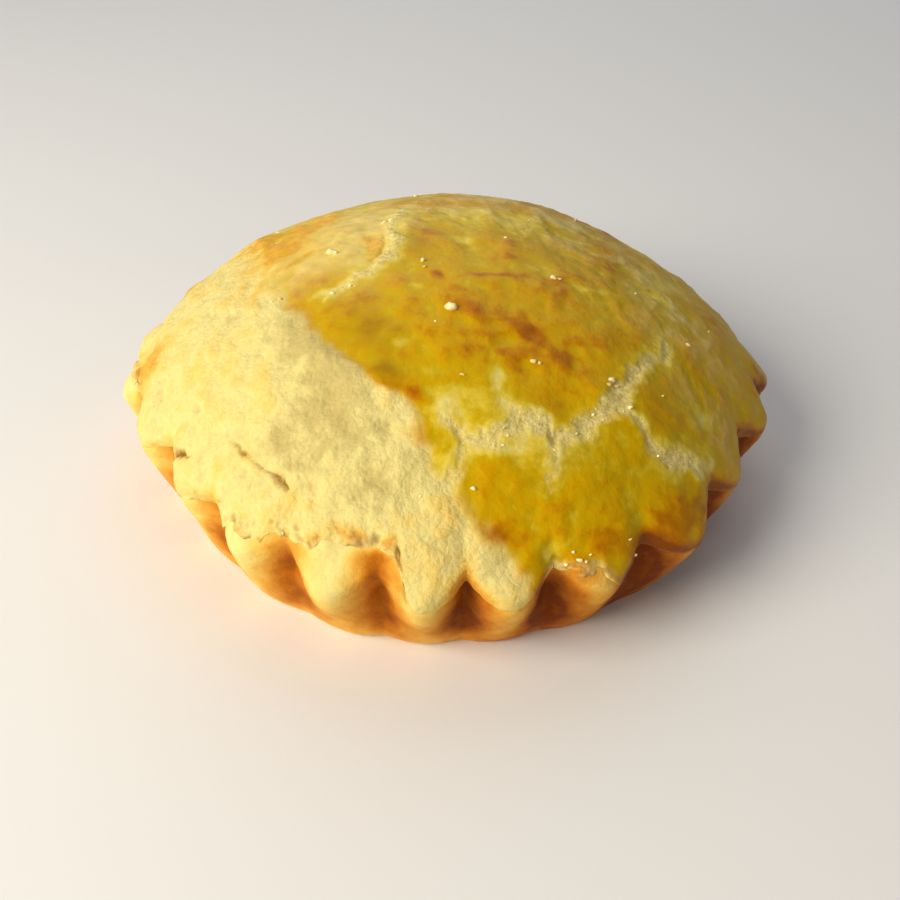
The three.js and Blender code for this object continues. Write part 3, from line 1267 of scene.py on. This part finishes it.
    @cached_property
    def dry(self) -> Array:
        """Where the crust is bare or split."""
        return 1.0 - self.wash * (1.0 - self.split[0])

    @cached_property
    def pits(self) -> Array:
        """Small pits in the bare crust."""
        return np.clip(self.layer(PITTED) - 0.8, 0.0, 1.0)

    @cached_property
    def holes(self) -> Array:
        """Small holes just above a torn edge."""
        return self.torn * bell(self.above - 1.5, 0.9) * smoothstep(0.2, 0.7, self.layer(HOLED))

    @cached_property
    def crumbled(self) -> Array:
        """Where a torn edge crumbled."""
        return self.seam * smoothstep(0.0, 0.7, self.layer(CRUMBLED))

    def bake_and_shade(self) -> Array:
        """How brown the washed crust is, above all on its edge and on the right, where it is partly
        browning and partly painted shade, as it is in the hollows between the lobes.

        Returns:
            The place on the washed colours, from 0 to 1.
        """
        right = bell(turn_between(self.direction, -15.0), 62.0)
        browned = total(self.marks.browned, self.loose) * (1.0 + 0.25 * self.fine)
        # paler: thinner wash and the halos by the cracks, and on the back and the right flank a painted
        # sheen
        thin_wash_and_sheen = total(self.marks.thin_wash_and_sheen, self.loose)
        thin_wash_and_sheen += 0.8 * self.split[1] * np.clip(0.6 + self.patchy + 0.5 * self.fine, 0.0, 1.2)
        bake_and_shade = 0.44 + 0.06 * self.broad + 0.08 * self.layer(MOTTLED) + 0.12 * self.patchy
        bake_and_shade = bake_and_shade + 0.11 * self.fine + 0.05 * self.brush + 0.04 * self.dull_and_sheen
        more = 0.36 * browned - 0.4 * np.clip(thin_wash_and_sheen, 0.0, 1.0)
        # partly browning, partly painted shade: the edge browner on the right, turned from the light, and
        # the hollows between the lobes browner still
        more = more + self.on_edge * (0.1 + 0.42 * right) + self.in_hollow * (0.3 + 0.25 * right)
        return np.clip(bake_and_shade + more, 0.0, 1.0)

    def toast_and_shade(self) -> Array:
        """How brown the bare dough is, with painted shade in the hollows between the lobes, less of it on
        the lit left, and paler where a sheen is painted.

        Returns:
            The place on the bare dough's colours, from 0 to 1.
        """
        left = bell(turn_between(self.direction, -165.0), 40.0)
        toast_and_shade = 0.26 + 0.07 * self.broad + 0.13 * self.patchy + 0.07 * self.fine
        toast_and_shade = np.minimum(toast_and_shade + total(self.marks.toasted, self.loose), 0.56)
        # painted shade in the hollows between the lobes, less on the lit left; the matt, sheen-painted
        # patches are paler
        toast_and_shade = toast_and_shade + 0.06 * self.on_edge + self.in_hollow * mix(0.3, 0.18, left) - 0.12 * self.dull_and_sheen
        toast_and_shade += 0.36 * self.seam * smoothstep(0.0, 0.8, self.patchy + self.fine)
        return np.clip(toast_and_shade, 0.0, 1.0)

    def relief(self) -> Array:
        """The fine shape of the crust.

        Returns:
            How far each place rises outwards, in mm.
        """
        crumb, _, rise = self.split
        relief = self.form.unevenness(self.at) + total(self.marks.raised, self.plan) + rise - self.slit
        relief += mix(0.09, 0.17, self.dry) * self.fine
        skin = np.clip(self.dull_and_sheen + 0.25 * self.wash, 0.0, 1.0)
        relief += 0.13 * self.wrinkles * skin - self.pits * self.dry * 0.5
        relief += crumb * 0.08 * self.layer(CRUMBLY)
        relief += self.on_edge * mix(0.08, 0.36, self.torn) * self.layer(FRAYED)
        relief -= 0.45 * self.holes + 0.15 * self.crumbled
        relief += 0.32 * (1.0 - self.seal) * smoothstep(1.0, 5.0, self.above) * self.layer(BUCKLED)
        return relief

    def looks(self) -> dict[str, Array]:
        """What the finish reads.

        Returns:
            The values by name, each from 0 to 1.
        """
        crumb = self.split[0]
        outside = 1.0 - smoothstep(0.993, 0.999, self.share)
        torn_crumb = self.on_edge * self.torn * np.clip(0.35 + 0.6 * self.fine, 0.0, 1.0)
        pool = total(self.marks.pooled, self.loose) * (1.0 + 0.5 * self.patchy + 0.3 * self.fine)
        # painted shade inside the slits, the bare crust's pits, the holes and the crumbled torn edge
        recess_shade = 1.5 * self.slit + 1.2 * self.pits * self.dry + 0.4 * self.holes + 0.6 * self.crumbled
        return {
            "wash": self.wash * outside * (1.0 - self.torn * self.on_edge),
            "seal": self.seal * (1.0 - crumb),
            "pool": np.clip(pool, 0.0, 1.0),
            "bake_and_shade": self.bake_and_shade(),
            "toast_and_shade": self.toast_and_shade(),
            "recess_shade": np.clip(recess_shade, 0.0, 1.0),
            "crumb": np.maximum(crumb * 0.9, torn_crumb),
        }


@dataclass
class PastryLid:
    """The domed lid: its top, its edge rolled under, and its hidden underside."""

    form: PieForm
    marks: LidMarks
    nose: float = 0.3
    torn_nose: float = 0.25
    rolled_under: float = math.radians(200)
    rings: int = 174
    # the edge's outline wavers by this much where it is whole and where it is torn
    ragged: tuple[float, float] = (0.15, 0.5)
    ragged_noise: DoughNoise = DoughNoise(11)
    ragged_lumps: Lumps = Lumps(3.2, 3)
    # the underside has a corner for so many of the edge's, and rings of these radii
    every: int = 4
    underside_rings: tuple[float, ...] = (44.0, 36.0, 25.0, 12.0)

    def surface(self, share: Array, direction: Array) -> tuple[Array, Array]:
        """Where the lid's outside lies.

        Args:
            share: how far along the way from the top to the end of the rolled edge, 0 to 1.
            direction: the direction from the middle, before the flutes drift.

        Returns:
            Places in mm, and how far above the edge they are, in mm along the outside.
        """
        form = self.form
        torn = form.torn_share(direction)
        wavering = self.ragged_noise.at(form.round_rim(direction), self.ragged_lumps)
        end = form.lid_end(direction) + wavering * mix(*self.ragged, torn)
        nose = mix(self.nose, self.torn_nose, torn)
        end_slope = form.outer_side(end, direction)[2]
        along = share * (end + nose * (end_slope + self.rolled_under))
        out, up, _ = form.outer_side(np.minimum(along, end), direction)
        bent = end_slope - np.maximum(along - end, 0.0) / nose
        out += nose * (np.sin(end_slope) - np.sin(bent))
        up += nose * (np.cos(bent) - np.cos(end_slope))
        return form.place(out, up, direction), np.maximum(end - along, 0.0)

    def disc(self) -> tuple[Array, Array, Array]:
        """A disc of triangles of nearly one size: each ring has six corners more than the one inside.

        Returns:
            Each vertex's share of the way out and its direction, and the triangles.
        """
        share, direction, faces = [np.zeros(1)], [np.zeros(1)], []
        inner_start, start = 0, 1
        for ring in range(1, self.rings + 1):
            share.append(np.full(6 * ring, ring / self.rings))
            direction.append(np.arange(6 * ring) * 60.0 / ring)
            sector = np.repeat(np.arange(6), ring)
            step = np.tile(np.arange(ring), 6)
            within = max(6 * (ring - 1), 1)
            outer = start + sector * ring + step
            following = start + (sector * ring + step + 1) % (6 * ring)
            inner = inner_start + (sector * (ring - 1) + step) % within
            inner_next = inner_start + (sector * (ring - 1) + step + 1) % within
            faces.append(np.column_stack([outer, following, inner]))
            faces.append(np.column_stack([inner, following, inner_next])[step < ring - 1])
            inner_start, start = start, start + 6 * ring
        return np.concatenate(share), np.concatenate(direction), np.concatenate(faces)

    def underside(self, first: int, direction: Array) -> tuple[Array, Array]:
        """The hidden underside: coarse rings from the end of the rolled edge to under the top.

        Args:
            first: the number that its first vertex gets. The outside's last ring comes just before.
            direction: the directions of that last ring.

        Returns:
            The new places, and the triangles that close the lid.
        """
        form, every, radii = self.form, self.every, self.underside_rings
        rim = len(direction)
        count = rim // every
        points = []
        for out in radii:
            up = np.interp(out, *form.dome()[:2]) - form.lid_thickness
            points.append(form.place(np.full(count, out), np.full(count, up), direction[::every]))
        points.append(np.array([[0.0, 0.0, form.height - form.lid_thickness]]))
        ring = np.arange(count)
        following = (ring + 1) % count
        faces = []
        for step in range(every):
            a = first - rim + (ring * every + step) % rim
            b = first - rim + (ring * every + step + 1) % rim
            faces.append(np.column_stack([b, a, first + (ring if step < every / 2 else following)]))
        middle = first - rim + ring * every + every // 2
        faces.append(np.column_stack([middle, first + ring, first + following]))
        for level in range(len(radii) - 1):
            low, high = first + level * count, first + (level + 1) * count
            faces.append(np.column_stack([low + following, low + ring, high + ring]))
            faces.append(np.column_stack([low + following, high + ring, high + following]))
        low = first + (len(radii) - 1) * count
        faces.append(np.column_stack([low + following, low + ring, np.full(count, low + count)]))
        return np.concatenate(points), np.concatenate(faces)

    def build(self, material: bpy.types.Material) -> bpy.types.Object:
        """Builds the lid with its relief and the values that its finish reads.

        Args:
            material: its finish.

        Returns:
            The finished lid.
        """
        share, direction, faces = self.disc()
        outside, above = self.surface(share, direction)
        below, closing = self.underside(len(outside), direction[-6 * self.rings :])
        mesh = new_mesh("lid_crust", np.concatenate([outside, below]), np.concatenate([faces, closing]))
        crust = LidCrust(self.form, self.marks, outside, share, direction, above)
        hidden = np.zeros(len(below))
        relief = np.append(crust.relief(), hidden)
        move_points(mesh, read_points(mesh) + read_normals(mesh) * relief[:, None])
        set_values(mesh, {name: np.append(given, hidden) for name, given in crust.looks().items()})
        mesh.materials.append(material)
        return new_object("lid_crust", mesh)


# ---------------------------------------------------------------------------------------------
# The case
# ---------------------------------------------------------------------------------------------


@dataclass
class PastryCase:
    """The fluted case, made by one rule: a profile over a ridge and one over a hollow, blended round.

    A profile runs from the middle of the underside out, up the wall, and back over the lip under the
    lid. Its knots are the share of its rows, the radius and the height.
    """

    form: PieForm
    columns_per_flute: int = 34
    rows: int = 84
    wall_sharpness: float = 0.75
    lip_sharpness: float = 0.6
    lip_from: tuple[float, float] = (0.4, 0.66)
    merged_within: float = 0.01
    # its own layers of noise: blotches, lumps of the wall, and its finest lumps
    dough: DoughNoise = DoughNoise(47)
    blotched: Lumps = Lumps(6.0, 2)
    lumpy: Lumps = Lumps(9.0, 2, 60.0)
    finely: Lumps = Lumps(2.4, 2, 90.0)
    # where the lid is torn, the lip's rows stand in for its edge and end so far inside it
    lip_starts: float = 0.6
    lip_share: float = 0.32
    stand_in_from: tuple[float, float] = (0.58, 0.64)
    stand_in_to: tuple[float, float] = (0.945, 0.92)
    tucked_in: float = 1.4
    ridge: tuple[tuple[float, float, float], ...] = (
        (0.00, 0.0, 0.0), (0.10, 45.6, 0.0), (0.14, 46.6, 0.35), (0.19, 47.4, 1.5), (0.33, 49.4, 5.2),
        (0.46, 51.2, 8.7), (0.57, 52.5, 11.4), (0.64, 53.0, 13.2), (0.70, 52.5, 14.9), (0.77, 51.4, 16.6),
        (0.84, 49.8, 18.3), (0.90, 47.6, 20.2), (0.95, 43.5, 19.6), (1.00, 0.0, 20.0),
    )  # fmt: skip
    hollow: tuple[tuple[float, float, float], ...] = (
        (0.00, 0.0, 0.0), (0.10, 44.9, 0.0), (0.14, 45.8, 0.35), (0.19, 46.5, 1.5), (0.33, 47.8, 5.2),
        (0.46, 47.9, 8.8), (0.57, 47.8, 12.0), (0.64, 48.2, 14.2), (0.70, 48.4, 16.0), (0.77, 47.9, 17.4),
        (0.84, 47.2, 18.6), (0.90, 46.2, 19.6), (0.95, 43.0, 19.6), (1.00, 0.0, 20.0),
    )  # fmt: skip

    def tree(self) -> bpy.types.NodeTree:
        """Builds the Geometry Nodes tree that turns the two profiles into a fluted case.

        Returns:
            The tree, with named inputs for its counts and sizes.
        """
        floats = (
            "Flutes", "First crest", "Wall sharpness", "Lip sharpness", "Widest radius", "Greatest height",
        )  # fmt: skip
        inputs = {"Columns": "Int", "Rows": "Int", **dict.fromkeys(floats, "Float"), "Material": "Material"}
        tree, given = new_tree("fluted_case", inputs)

        inputs = {"Size X": 1.0, "Size Y": 1.0, "Vertices X": given["Columns"], "Vertices Y": given["Rows"]}
        grid = add_node(tree, "GeometryNodeMeshGrid", {}, inputs)
        spot = add_node(tree, "GeometryNodeInputPosition")
        across = add_node(tree, "ShaderNodeSeparateXYZ", {}, {0: spot})
        along = add_node(tree, MATHS, {"operation": "ADD"}, {0: across.node.outputs[1], 1: 0.5})
        turn = add_node(tree, MATHS, {"operation": "ADD"}, {0: across, 1: 0.5})
        turn = add_node(tree, MATHS, {"operation": "MULTIPLY"}, {0: turn, 1: 2 * math.pi})
        phase = add_node(tree, MATHS, {"operation": "SUBTRACT"}, {0: turn, 1: given["First crest"]})
        phase = add_node(tree, MATHS, {"operation": "MULTIPLY"}, {0: phase, 1: given["Flutes"]})
        wave = add_node(tree, MATHS, {"operation": "COSINE"}, {0: phase})
        wave = add_node(tree, MATHS, {"operation": "MULTIPLY_ADD"}, {0: wave, 1: 0.5, 2: 0.5})
        inputs = {
            "Value": along,
            "From Min": self.lip_from[0],
            "From Max": self.lip_from[1],
            "To Min": given["Wall sharpness"],
            "To Max": given["Lip sharpness"],
        }
        sharpness = add_node(tree, RANGE, {"interpolation_type": "SMOOTHSTEP"}, inputs)
        crest = add_node(tree, MATHS, {"operation": "POWER"}, {0: wave, 1: sharpness})

        sizes = []
        for column, scale in ((1, given["Widest radius"]), (2, given["Greatest height"])):
            greatest = max(knot[column] for knot in self.ridge)
            over = []
            for knots in (self.hollow, self.ridge):
                curve = add_node(tree, "ShaderNodeFloatCurve", {}, {"Factor": 1.0, "Value": along})
                self.fill_curve(curve.node.mapping, [(knot[0], knot[column] / greatest) for knot in knots])
                over.append(add_node(tree, MATHS, {"operation": "MULTIPLY"}, {0: curve, 1: scale}))
            sizes.append(add_node(tree, BLEND, NUMBERS, {0: crest, 2: over[0], 3: over[1]}))
        radius, height = sizes

        cosine = add_node(tree, MATHS, {"operation": "COSINE"}, {0: turn})
        sine = add_node(tree, MATHS, {"operation": "SINE"}, {0: turn})
        x = add_node(tree, MATHS, {"operation": "MULTIPLY"}, {0: radius, 1: cosine})
        y = add_node(tree, MATHS, {"operation": "MULTIPLY"}, {0: radius, 1: sine})
        place = add_node(tree, "ShaderNodeCombineXYZ", {}, {0: x, 1: y, 2: height})
        shape = grid
        for name, value in (("along", along), ("crest", crest)):  # stored while the grid is still flat
            inputs = {"Geometry": shape, "Name": name, "Value": value}
            shape = add_node(tree, STORE, NUMBERS_AT_POINTS, inputs)
        for kind, inputs in (
            ("GeometryNodeSetPosition", {"Position": place}),
            ("GeometryNodeMergeByDistance", {"Distance": self.merged_within * MM}),
            ("GeometryNodeSetShadeSmooth", {}),
            ("GeometryNodeRealizeInstances", {}),
            ("GeometryNodeSetMaterial", {"Material": given["Material"]}),
        ):
            shape = add_node(tree, kind, {}, {"Geometry": shape, **inputs})
        add_node(tree, "NodeGroupOutput", {}, {0: shape})
        return tree

    @staticmethod
    def fill_curve(mapping: bpy.types.CurveMapping, knots: Sequence[tuple[float, float]]) -> None:
        """Gives a float curve its knots.

        Args:
            mapping: the curve's mapping, with the two knots that it starts with.
            knots: for each knot its position and its value, both from 0 to 1.
        """
        curve = mapping.curves[0]
        for position, value in knots[1:-1]:
            curve.points.new(position, value)
        curve.points[0].location = knots[0]
        curve.points[-1].location = knots[-1]
        for point in curve.points:
            point.handle_type = "AUTO_CLAMPED"
        mapping.update()

    def build(self, material: bpy.types.Material) -> bpy.types.Object:
        """Builds the case and presses the hand's unevenness into it.

        Args:
            material: its finish.

        Returns:
            The finished case.
        """
        inputs = {
            "Columns": self.form.flutes * self.columns_per_flute + 1,
            "Rows": self.rows,
            "Flutes": float(self.form.flutes),
            "First crest": math.radians(self.form.first_crest),
            "Wall sharpness": self.wall_sharpness,
            "Lip sharpness": self.lip_sharpness,
            "Widest radius": max(radius for _, radius, _ in self.ridge) * MM,
            "Greatest height": max(height for _, _, height in self.ridge) * MM,
            "Material": material,
        }
        mesh = run_tree(bpy.data.meshes.new("nothing"), self.tree(), inputs)
        mesh.name = "case_crust"
        self.press(mesh)
        return new_object("case_crust", mesh)

    def press(self, mesh: bpy.types.Mesh) -> None:
        """Moves the even case's vertices to where an uneven, hand-made case has them.

        Args:
            mesh: the case as the rule makes it. The values that its finish reads are written too.
        """
        form = self.form
        even = read_points(mesh)
        along, crest = take_values(mesh, "along"), take_values(mesh, "crest")
        out, up = np.hypot(even[:, 0], even[:, 1]), even[:, 2]
        direction = np.degrees(np.arctan2(even[:, 1], even[:, 0]))

        on_lip = form.torn_share(direction) * smoothstep(*self.stand_in_from, along)
        stands_in = on_lip * smoothstep(*self.stand_in_to, along)
        back = np.clip((along - self.lip_starts) / self.lip_share, 0.0, 1.0)
        down = mix(form.turn_down(direction)[3], form.lid_end(direction) - self.tucked_in, back)
        lid_out, lid_up, _ = form.outer_side(down, direction)
        sunk = 0.1 + 0.9 * smoothstep(0.84, 1.0, back)
        at = form.place(mix(out, lid_out - sunk, stands_in), mix(up, lid_up - sunk, stands_in), direction)
        move_points(mesh, at)

        patchy = self.dough.at(at, self.blotched)
        relief = mix(0.3 * self.dough.at(at, self.lumpy), form.unevenness(at), stands_in)
        relief += 0.1 * self.dough.at(at, self.finely)
        standing = smoothstep(0.0, 1.2, at[:, 2]) * smoothstep(0.06, 0.12, along)
        at += read_normals(mesh) * (relief * standing)[:, None]
        at[:, 2] = np.maximum(at[:, 2], 0.0)
        move_points(mesh, at)

        # browning with painted shade: the hollows between the ridges, the right side, turned from the
        # light, and the wall towards the bottom are browner; the hollows on the lit left get less
        right = bell(turn_between(direction, -35.0), 45.0)
        left = bell(turn_between(direction, -150.0), 48.0)
        low = smoothstep(13.0, 6.0, at[:, 2])
        hollow = (1.0 - crest**1.5) * smoothstep(-1.5, 8.0, at[:, 2])
        wall = 0.34 + 0.12 * low + 0.12 * patchy + 0.42 * right + 0.04 * left
        wall = wall + hollow * mix(0.5, 0.36, left)
        lip = 0.27 + 0.17 * patchy + 0.26 * right + 0.42 * hollow * smoothstep(0.92, 0.8, along)
        set_values(mesh, {"toast_and_shade": np.clip(mix(wall, lip, stands_in), 0.0, 1.0)})


# ---------------------------------------------------------------------------------------------
# Crumbs
# ---------------------------------------------------------------------------------------------


@dataclass
class LooseCrumbs:
    """Crumbs that lie on the lid: fine ones scattered by chance, and the few that catch the eye."""

    # how thickly the fine ones lie on the crust, and how much more so where crumb shows
    per_square_cm: float = 0.6
    more_on_crumb: float = 22.0
    # their radii
    finest: float = 0.1
    coarsest: float = 0.24
    # each is stretched, turned any way and made jagged, by lumps of a width and up to half the jag
    least_stretch: tuple[float, float, float] = (0.8, 0.8, 0.55)
    most_stretch: tuple[float, float, float] = (1.2, 1.1, 0.85)
    any_turn: float = 6.283
    lump: float = 0.7
    jag: float = 1.0
    seed: int = 5
    clustered: Lumps = Lumps(14.0, 2)
    # places seen from above, each with the crumb's radius
    large: tuple[tuple[float, float, float], ...] = (
        (0.8, -17.7, 1.0), (-17.8, -2.0, 0.75), (-17.0, -2.4, 0.5), (-10.3, 6.0, 0.55), (-9.2, 6.6, 0.4),
        (-3.5, -6.8, 0.4), (-3.2, -8.2, 0.3), (15.8, -7.5, 0.5), (16.8, -7.3, 0.35), (12.5, -25.0, 0.5),
        (13.3, -25.3, 0.35), (23.5, -24.8, 0.6), (24.3, -25.4, 0.45), (22.9, -25.9, 0.35),
        (2.5, -28.8, 0.3), (-24.8, -11.2, 0.45), (-26.2, -11.0, 0.35), (-14.4, -11.3, 0.35),
        (-16.7, -12.7, 0.35), (31.6, -23.5, 0.25), (37.2, -11.0, 0.4), (4.4, -42.4, 0.5),
        (25.4, -43.6, 0.3), (27.2, -44.1, 0.25), (9.0, 1.8, 0.25), (26.0, -28.2, 0.4), (16.5, -47.4, 0.3),
        (18.7, -47.0, 0.36), (20.0, -46.4, 0.25), (17.6, -46.6, 0.2), (19.3, -47.2, 0.25),
        (15.6, -47.8, 0.2), (-6.0, 24.0, 0.5), (22.0, 20.0, 0.4), (-30.0, 20.0, 0.35), (-21.0, 30.0, 0.4),
    )  # fmt: skip

    def tree(self, places: bpy.types.Object) -> bpy.types.NodeTree:
        """Builds the Geometry Nodes tree that scatters crumbs over a crust.

        Args:
            places: an object with a vertex where each large crumb lies, and its radius as size.

        Returns:
            The tree, with named inputs for its density, sizes and seed.
        """
        inputs = {**dict.fromkeys(("Density", "Finest", "Coarsest", "Jag"), "Float"), "Seed": "Int"}
        tree, given = new_tree("loose_crumbs", {**inputs, "Material": "Material"})
        seed = given["Seed"]

        loose = add_node(tree, "GeometryNodeInputNamedAttribute", NUMBERS, {"Name": "loose"})
        density = add_node(tree, MATHS, {"operation": "MULTIPLY"}, {0: loose, 1: given["Density"]})
        inputs = {"Mesh": given["Geometry"], "Density": density, "Seed": seed}
        scattered = add_node(tree, "GeometryNodeDistributePointsOnFaces", {}, inputs)
        inputs = {2: given["Finest"], 3: given["Coarsest"], "Seed": seed}
        size = add_node(tree, CHANCE, NUMBERS, inputs, 1)
        inputs = {"Geometry": scattered, "Name": "size", "Value": size}
        scattered = add_node(tree, STORE, NUMBERS_AT_POINTS, inputs)
        chosen = add_node(tree, "GeometryNodeObjectInfo", {}, {"Object": places}, 4)
        chosen = add_node(tree, "GeometryNodeMeshToPoints", {}, {"Mesh": chosen})
        points = tree.nodes.new("GeometryNodeJoinGeometry")
        for some in (scattered, chosen):
            tree.links.new(some, points.inputs[0])
        grain = add_node(tree, "GeometryNodeMeshIcoSphere", {}, {"Radius": 1.0, "Subdivisions": 2})
        vectors = {"data_type": "FLOAT_VECTOR"}
        turn = add_node(tree, CHANCE, vectors, {0: (0.0,) * 3, 1: (self.any_turn,) * 3, "Seed": seed})
        turn = add_node(tree, "FunctionNodeEulerToRotation", {}, {0: turn})
        inputs = {0: self.least_stretch, 1: self.most_stretch, "Seed": seed}
        stretch = add_node(tree, CHANCE, vectors, inputs)
        radius = add_node(tree, "GeometryNodeInputNamedAttribute", NUMBERS, {"Name": "size"})
        scale = add_node(tree, VECTORS, {"operation": "SCALE"}, {0: stretch, "Scale": radius})
        inputs = {"Points": points.outputs[0], "Instance": grain, "Rotation": turn, "Scale": scale}
        crumbs = add_node(tree, "GeometryNodeInstanceOnPoints", {}, inputs)
        crumbs = add_node(tree, "GeometryNodeRealizeInstances", {}, {"Geometry": crumbs})
        spot = add_node(tree, "GeometryNodeInputPosition")
        jag = add_node(tree, NOISE, {}, {"Vector": spot, "Scale": 1 / (self.lump * MM), "Detail": 3.0}, 1)
        jag = add_node(tree, VECTORS, {"operation": "SUBTRACT"}, {0: jag, 1: (0.5, 0.5, 0.5)})
        jag = add_node(tree, VECTORS, {"operation": "SCALE"}, {0: jag, "Scale": given["Jag"]})
        crumbs = add_node(tree, "GeometryNodeSetPosition", {}, {"Geometry": crumbs, "Offset": jag})
        inputs = {"Geometry": crumbs, "Material": given["Material"]}
        crumbs = add_node(tree, "GeometryNodeSetMaterial", {}, inputs)
        add_node(tree, "NodeGroupOutput", {}, {0: crumbs})
        return tree

    def build(self, lid: bpy.types.Object, material: bpy.types.Material) -> bpy.types.Object:
        """Scatters the crumbs over the finished lid.

        Args:
            lid: the lid that they lie on.
            material: their finish.

        Returns:
            All the crumbs as one piece.
        """
        ground = lid.data.copy()
        at = read_points(ground)
        crumb = np.empty(len(at), dtype=np.float32)
        ground.attributes["crumb"].data.foreach_get("value", crumb)
        facing_up = smoothstep(0.0, 0.5, read_normals(ground)[:, 2])
        patchy = np.clip(0.5 + DoughNoise(self.seed).at(at, self.clustered), 0.0, 1.5)
        set_values(ground, {"loose": facing_up * (0.4 * patchy + self.more_on_crumb * crumb)})

        large = np.array(self.large)
        nearest = []
        for spot in large[:, :2]:  # the higher place counts as nearer, so none lies on the underside
            away = np.linalg.norm(at[:, :2] - spot, axis=1)
            nearest.append(int(np.argmin(away - 0.05 * at[:, 2])))
        dots = bpy.data.meshes.new("large_crumbs")
        dots.from_pydata([tuple(spot) for spot in at[nearest] * MM], [], [])
        set_values(dots, {"size": large[:, 2] * MM})
        places = new_object("large_crumbs", dots)
        inputs = {
            "Density": self.per_square_cm / (10 * MM) ** 2,
            "Finest": self.finest * MM,
            "Coarsest": self.coarsest * MM,
            "Jag": self.jag * MM,
            "Seed": self.seed,
            "Material": material,
        }
        mesh = run_tree(ground, self.tree(places), inputs)
        bpy.data.objects.remove(places)
        bpy.data.meshes.remove(ground)
        mesh.name = "crumbs"
        mesh.shade_smooth()
        return new_object("crumbs", mesh)


# ---------------------------------------------------------------------------------------------
# The studio
# ---------------------------------------------------------------------------------------------


@dataclass(frozen=True)
class SoftLight:
    """A round soft light that shines on the pie. Its distance and size are metres, its power watts."""

    name: str
    direction: float
    elevation: float
    distance: float
    size: float
    power: float
    colour: str

    def make(self, target: Vector) -> None:
        """Puts the light in the scene, turned to a target.

        Args:
            target: the place, in metres.
        """
        light = bpy.data.lights.new(self.name, "AREA")
        light.shape = "DISK"
        light.size = self.size
        light.energy = self.power
        light.color = linear(self.colour)[:3]
        holder = bpy.data.objects.new(self.name, light)
        bpy.context.scene.collection.objects.link(holder)
        turn, rise = math.radians(self.direction), math.radians(self.elevation)
        away = Vector((math.cos(turn) * math.cos(rise), math.sin(turn) * math.cos(rise), math.sin(rise)))
        holder.location = target + away * self.distance
        holder.rotation_euler = (-away).to_track_quat("-Z", "Y").to_euler()


@dataclass(frozen=True)
class Studio:
    """A plain pale floor, soft lights and the camera."""

    camera_at: tuple[float, float, float] = (1.13, -141.07, 111.4)
    looks_down: float = 38.64
    roll: float = 1.39
    lens: float = 40.0
    sensor: float = 36.0
    sees_from: float = 5.0
    lit_height: float = 20.0
    half_floor: float = 3000.0
    floor_roughness: float = 0.7
    floor_colour: str = "#EEECE8"
    sky_colour: str = "#E9EEF6"
    sky_strength: float = 0.2
    lights: tuple[SoftLight, ...] = (
        SoftLight("key", 214, 33, 0.6, 0.4, 4.0, "#FFF8EA"),
        SoftLight("back", 88, 42, 1.1, 1.3, 4.0, "#F6F8FF"),
        SoftLight("card", -90, 14, 0.5, 0.5, 0.3, "#FFE4BE"),
    )

    def build(self) -> None:
        """Builds the floor, the lights, the world and the camera."""
        scene = bpy.context.scene
        scene.view_settings.view_transform = "Standard"
        self.floor()
        for light in self.lights:
            light.make(Vector((0, 0, self.lit_height * MM)))
        world = bpy.data.worlds.new("studio")
        scene.world = world
        world.use_nodes = True
        background = world.node_tree.nodes["Background"]
        background.inputs["Color"].default_value = linear(self.sky_colour)
        background.inputs["Strength"].default_value = self.sky_strength
        camera = bpy.data.cameras.new("camera")
        camera.lens = self.lens
        camera.sensor_width = self.sensor
        camera.clip_start = self.sees_from * MM
        holder = bpy.data.objects.new("camera", camera)
        scene.collection.objects.link(holder)
        holder.location = Vector(self.camera_at) * MM
        down = Euler((math.radians(90 - self.looks_down), 0, 0)).to_matrix()
        holder.rotation_euler = (down @ Matrix.Rotation(math.radians(self.roll), 3, "Z")).to_euler()
        scene.camera = holder

    def floor(self) -> None:
        """Lays a plain matt floor under the pie."""
        half = self.half_floor
        corners = np.array([(-half, -half, 0.0), (half, -half, 0.0), (half, half, 0.0), (-half, half, 0.0)])
        mesh = new_mesh("floor", corners, np.array([[0, 1, 2, 3]]))
        material = bpy.data.materials.new("matt_paint")
        material.use_nodes = True
        shader = material.node_tree.nodes["Principled BSDF"]
        shader.inputs["Base Color"].default_value = linear(self.floor_colour)
        shader.inputs["Roughness"].default_value = self.floor_roughness
        mesh.materials.append(material)
        new_object("floor", mesh)


# ---------------------------------------------------------------------------------------------
# The whole
# ---------------------------------------------------------------------------------------------


class Piece(Enum):
    """The pieces: the nodes that each stands in for, and the name of a slot, which nothing reads."""

    LID = (("pastry_lid",), "glazed_lid")
    CASE = (("pastry_case",), "case_crust")
    CRUMBS = ((), "glazed_lid")

    def declare(self, piece: bpy.types.Object) -> None:
        """Hangs a finished piece on the root body, hides the nodes that it stands in for and logs its size.

        Args:
            piece: the piece, with its place in its mesh.
        """
        nodes, slot = self.value
        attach(piece, "root")
        if nodes:
            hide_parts(*nodes)
        mesh = piece.data
        LOG.info("%s: %d vertices, %d faces", piece.name, len(mesh.vertices), len(mesh.polygons))


def main() -> None:
    """Builds the pie and its studio."""
    logging.basicConfig(level=logging.INFO, format="%(name)s: %(message)s")
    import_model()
    form = PieForm()
    lid = PastryLid(form, LidMarks()).build(EggWashedShortcrust().make())
    Piece.LID.declare(lid)
    case = PastryCase(form).build(TinBakedShortcrust().make())
    Piece.CASE.declare(case)
    crumbs = LooseCrumbs().build(lid, DryCrumb().make())
    Piece.CRUMBS.declare(crumbs)
    Studio().build()


if __name__ == "__main__":
    main()
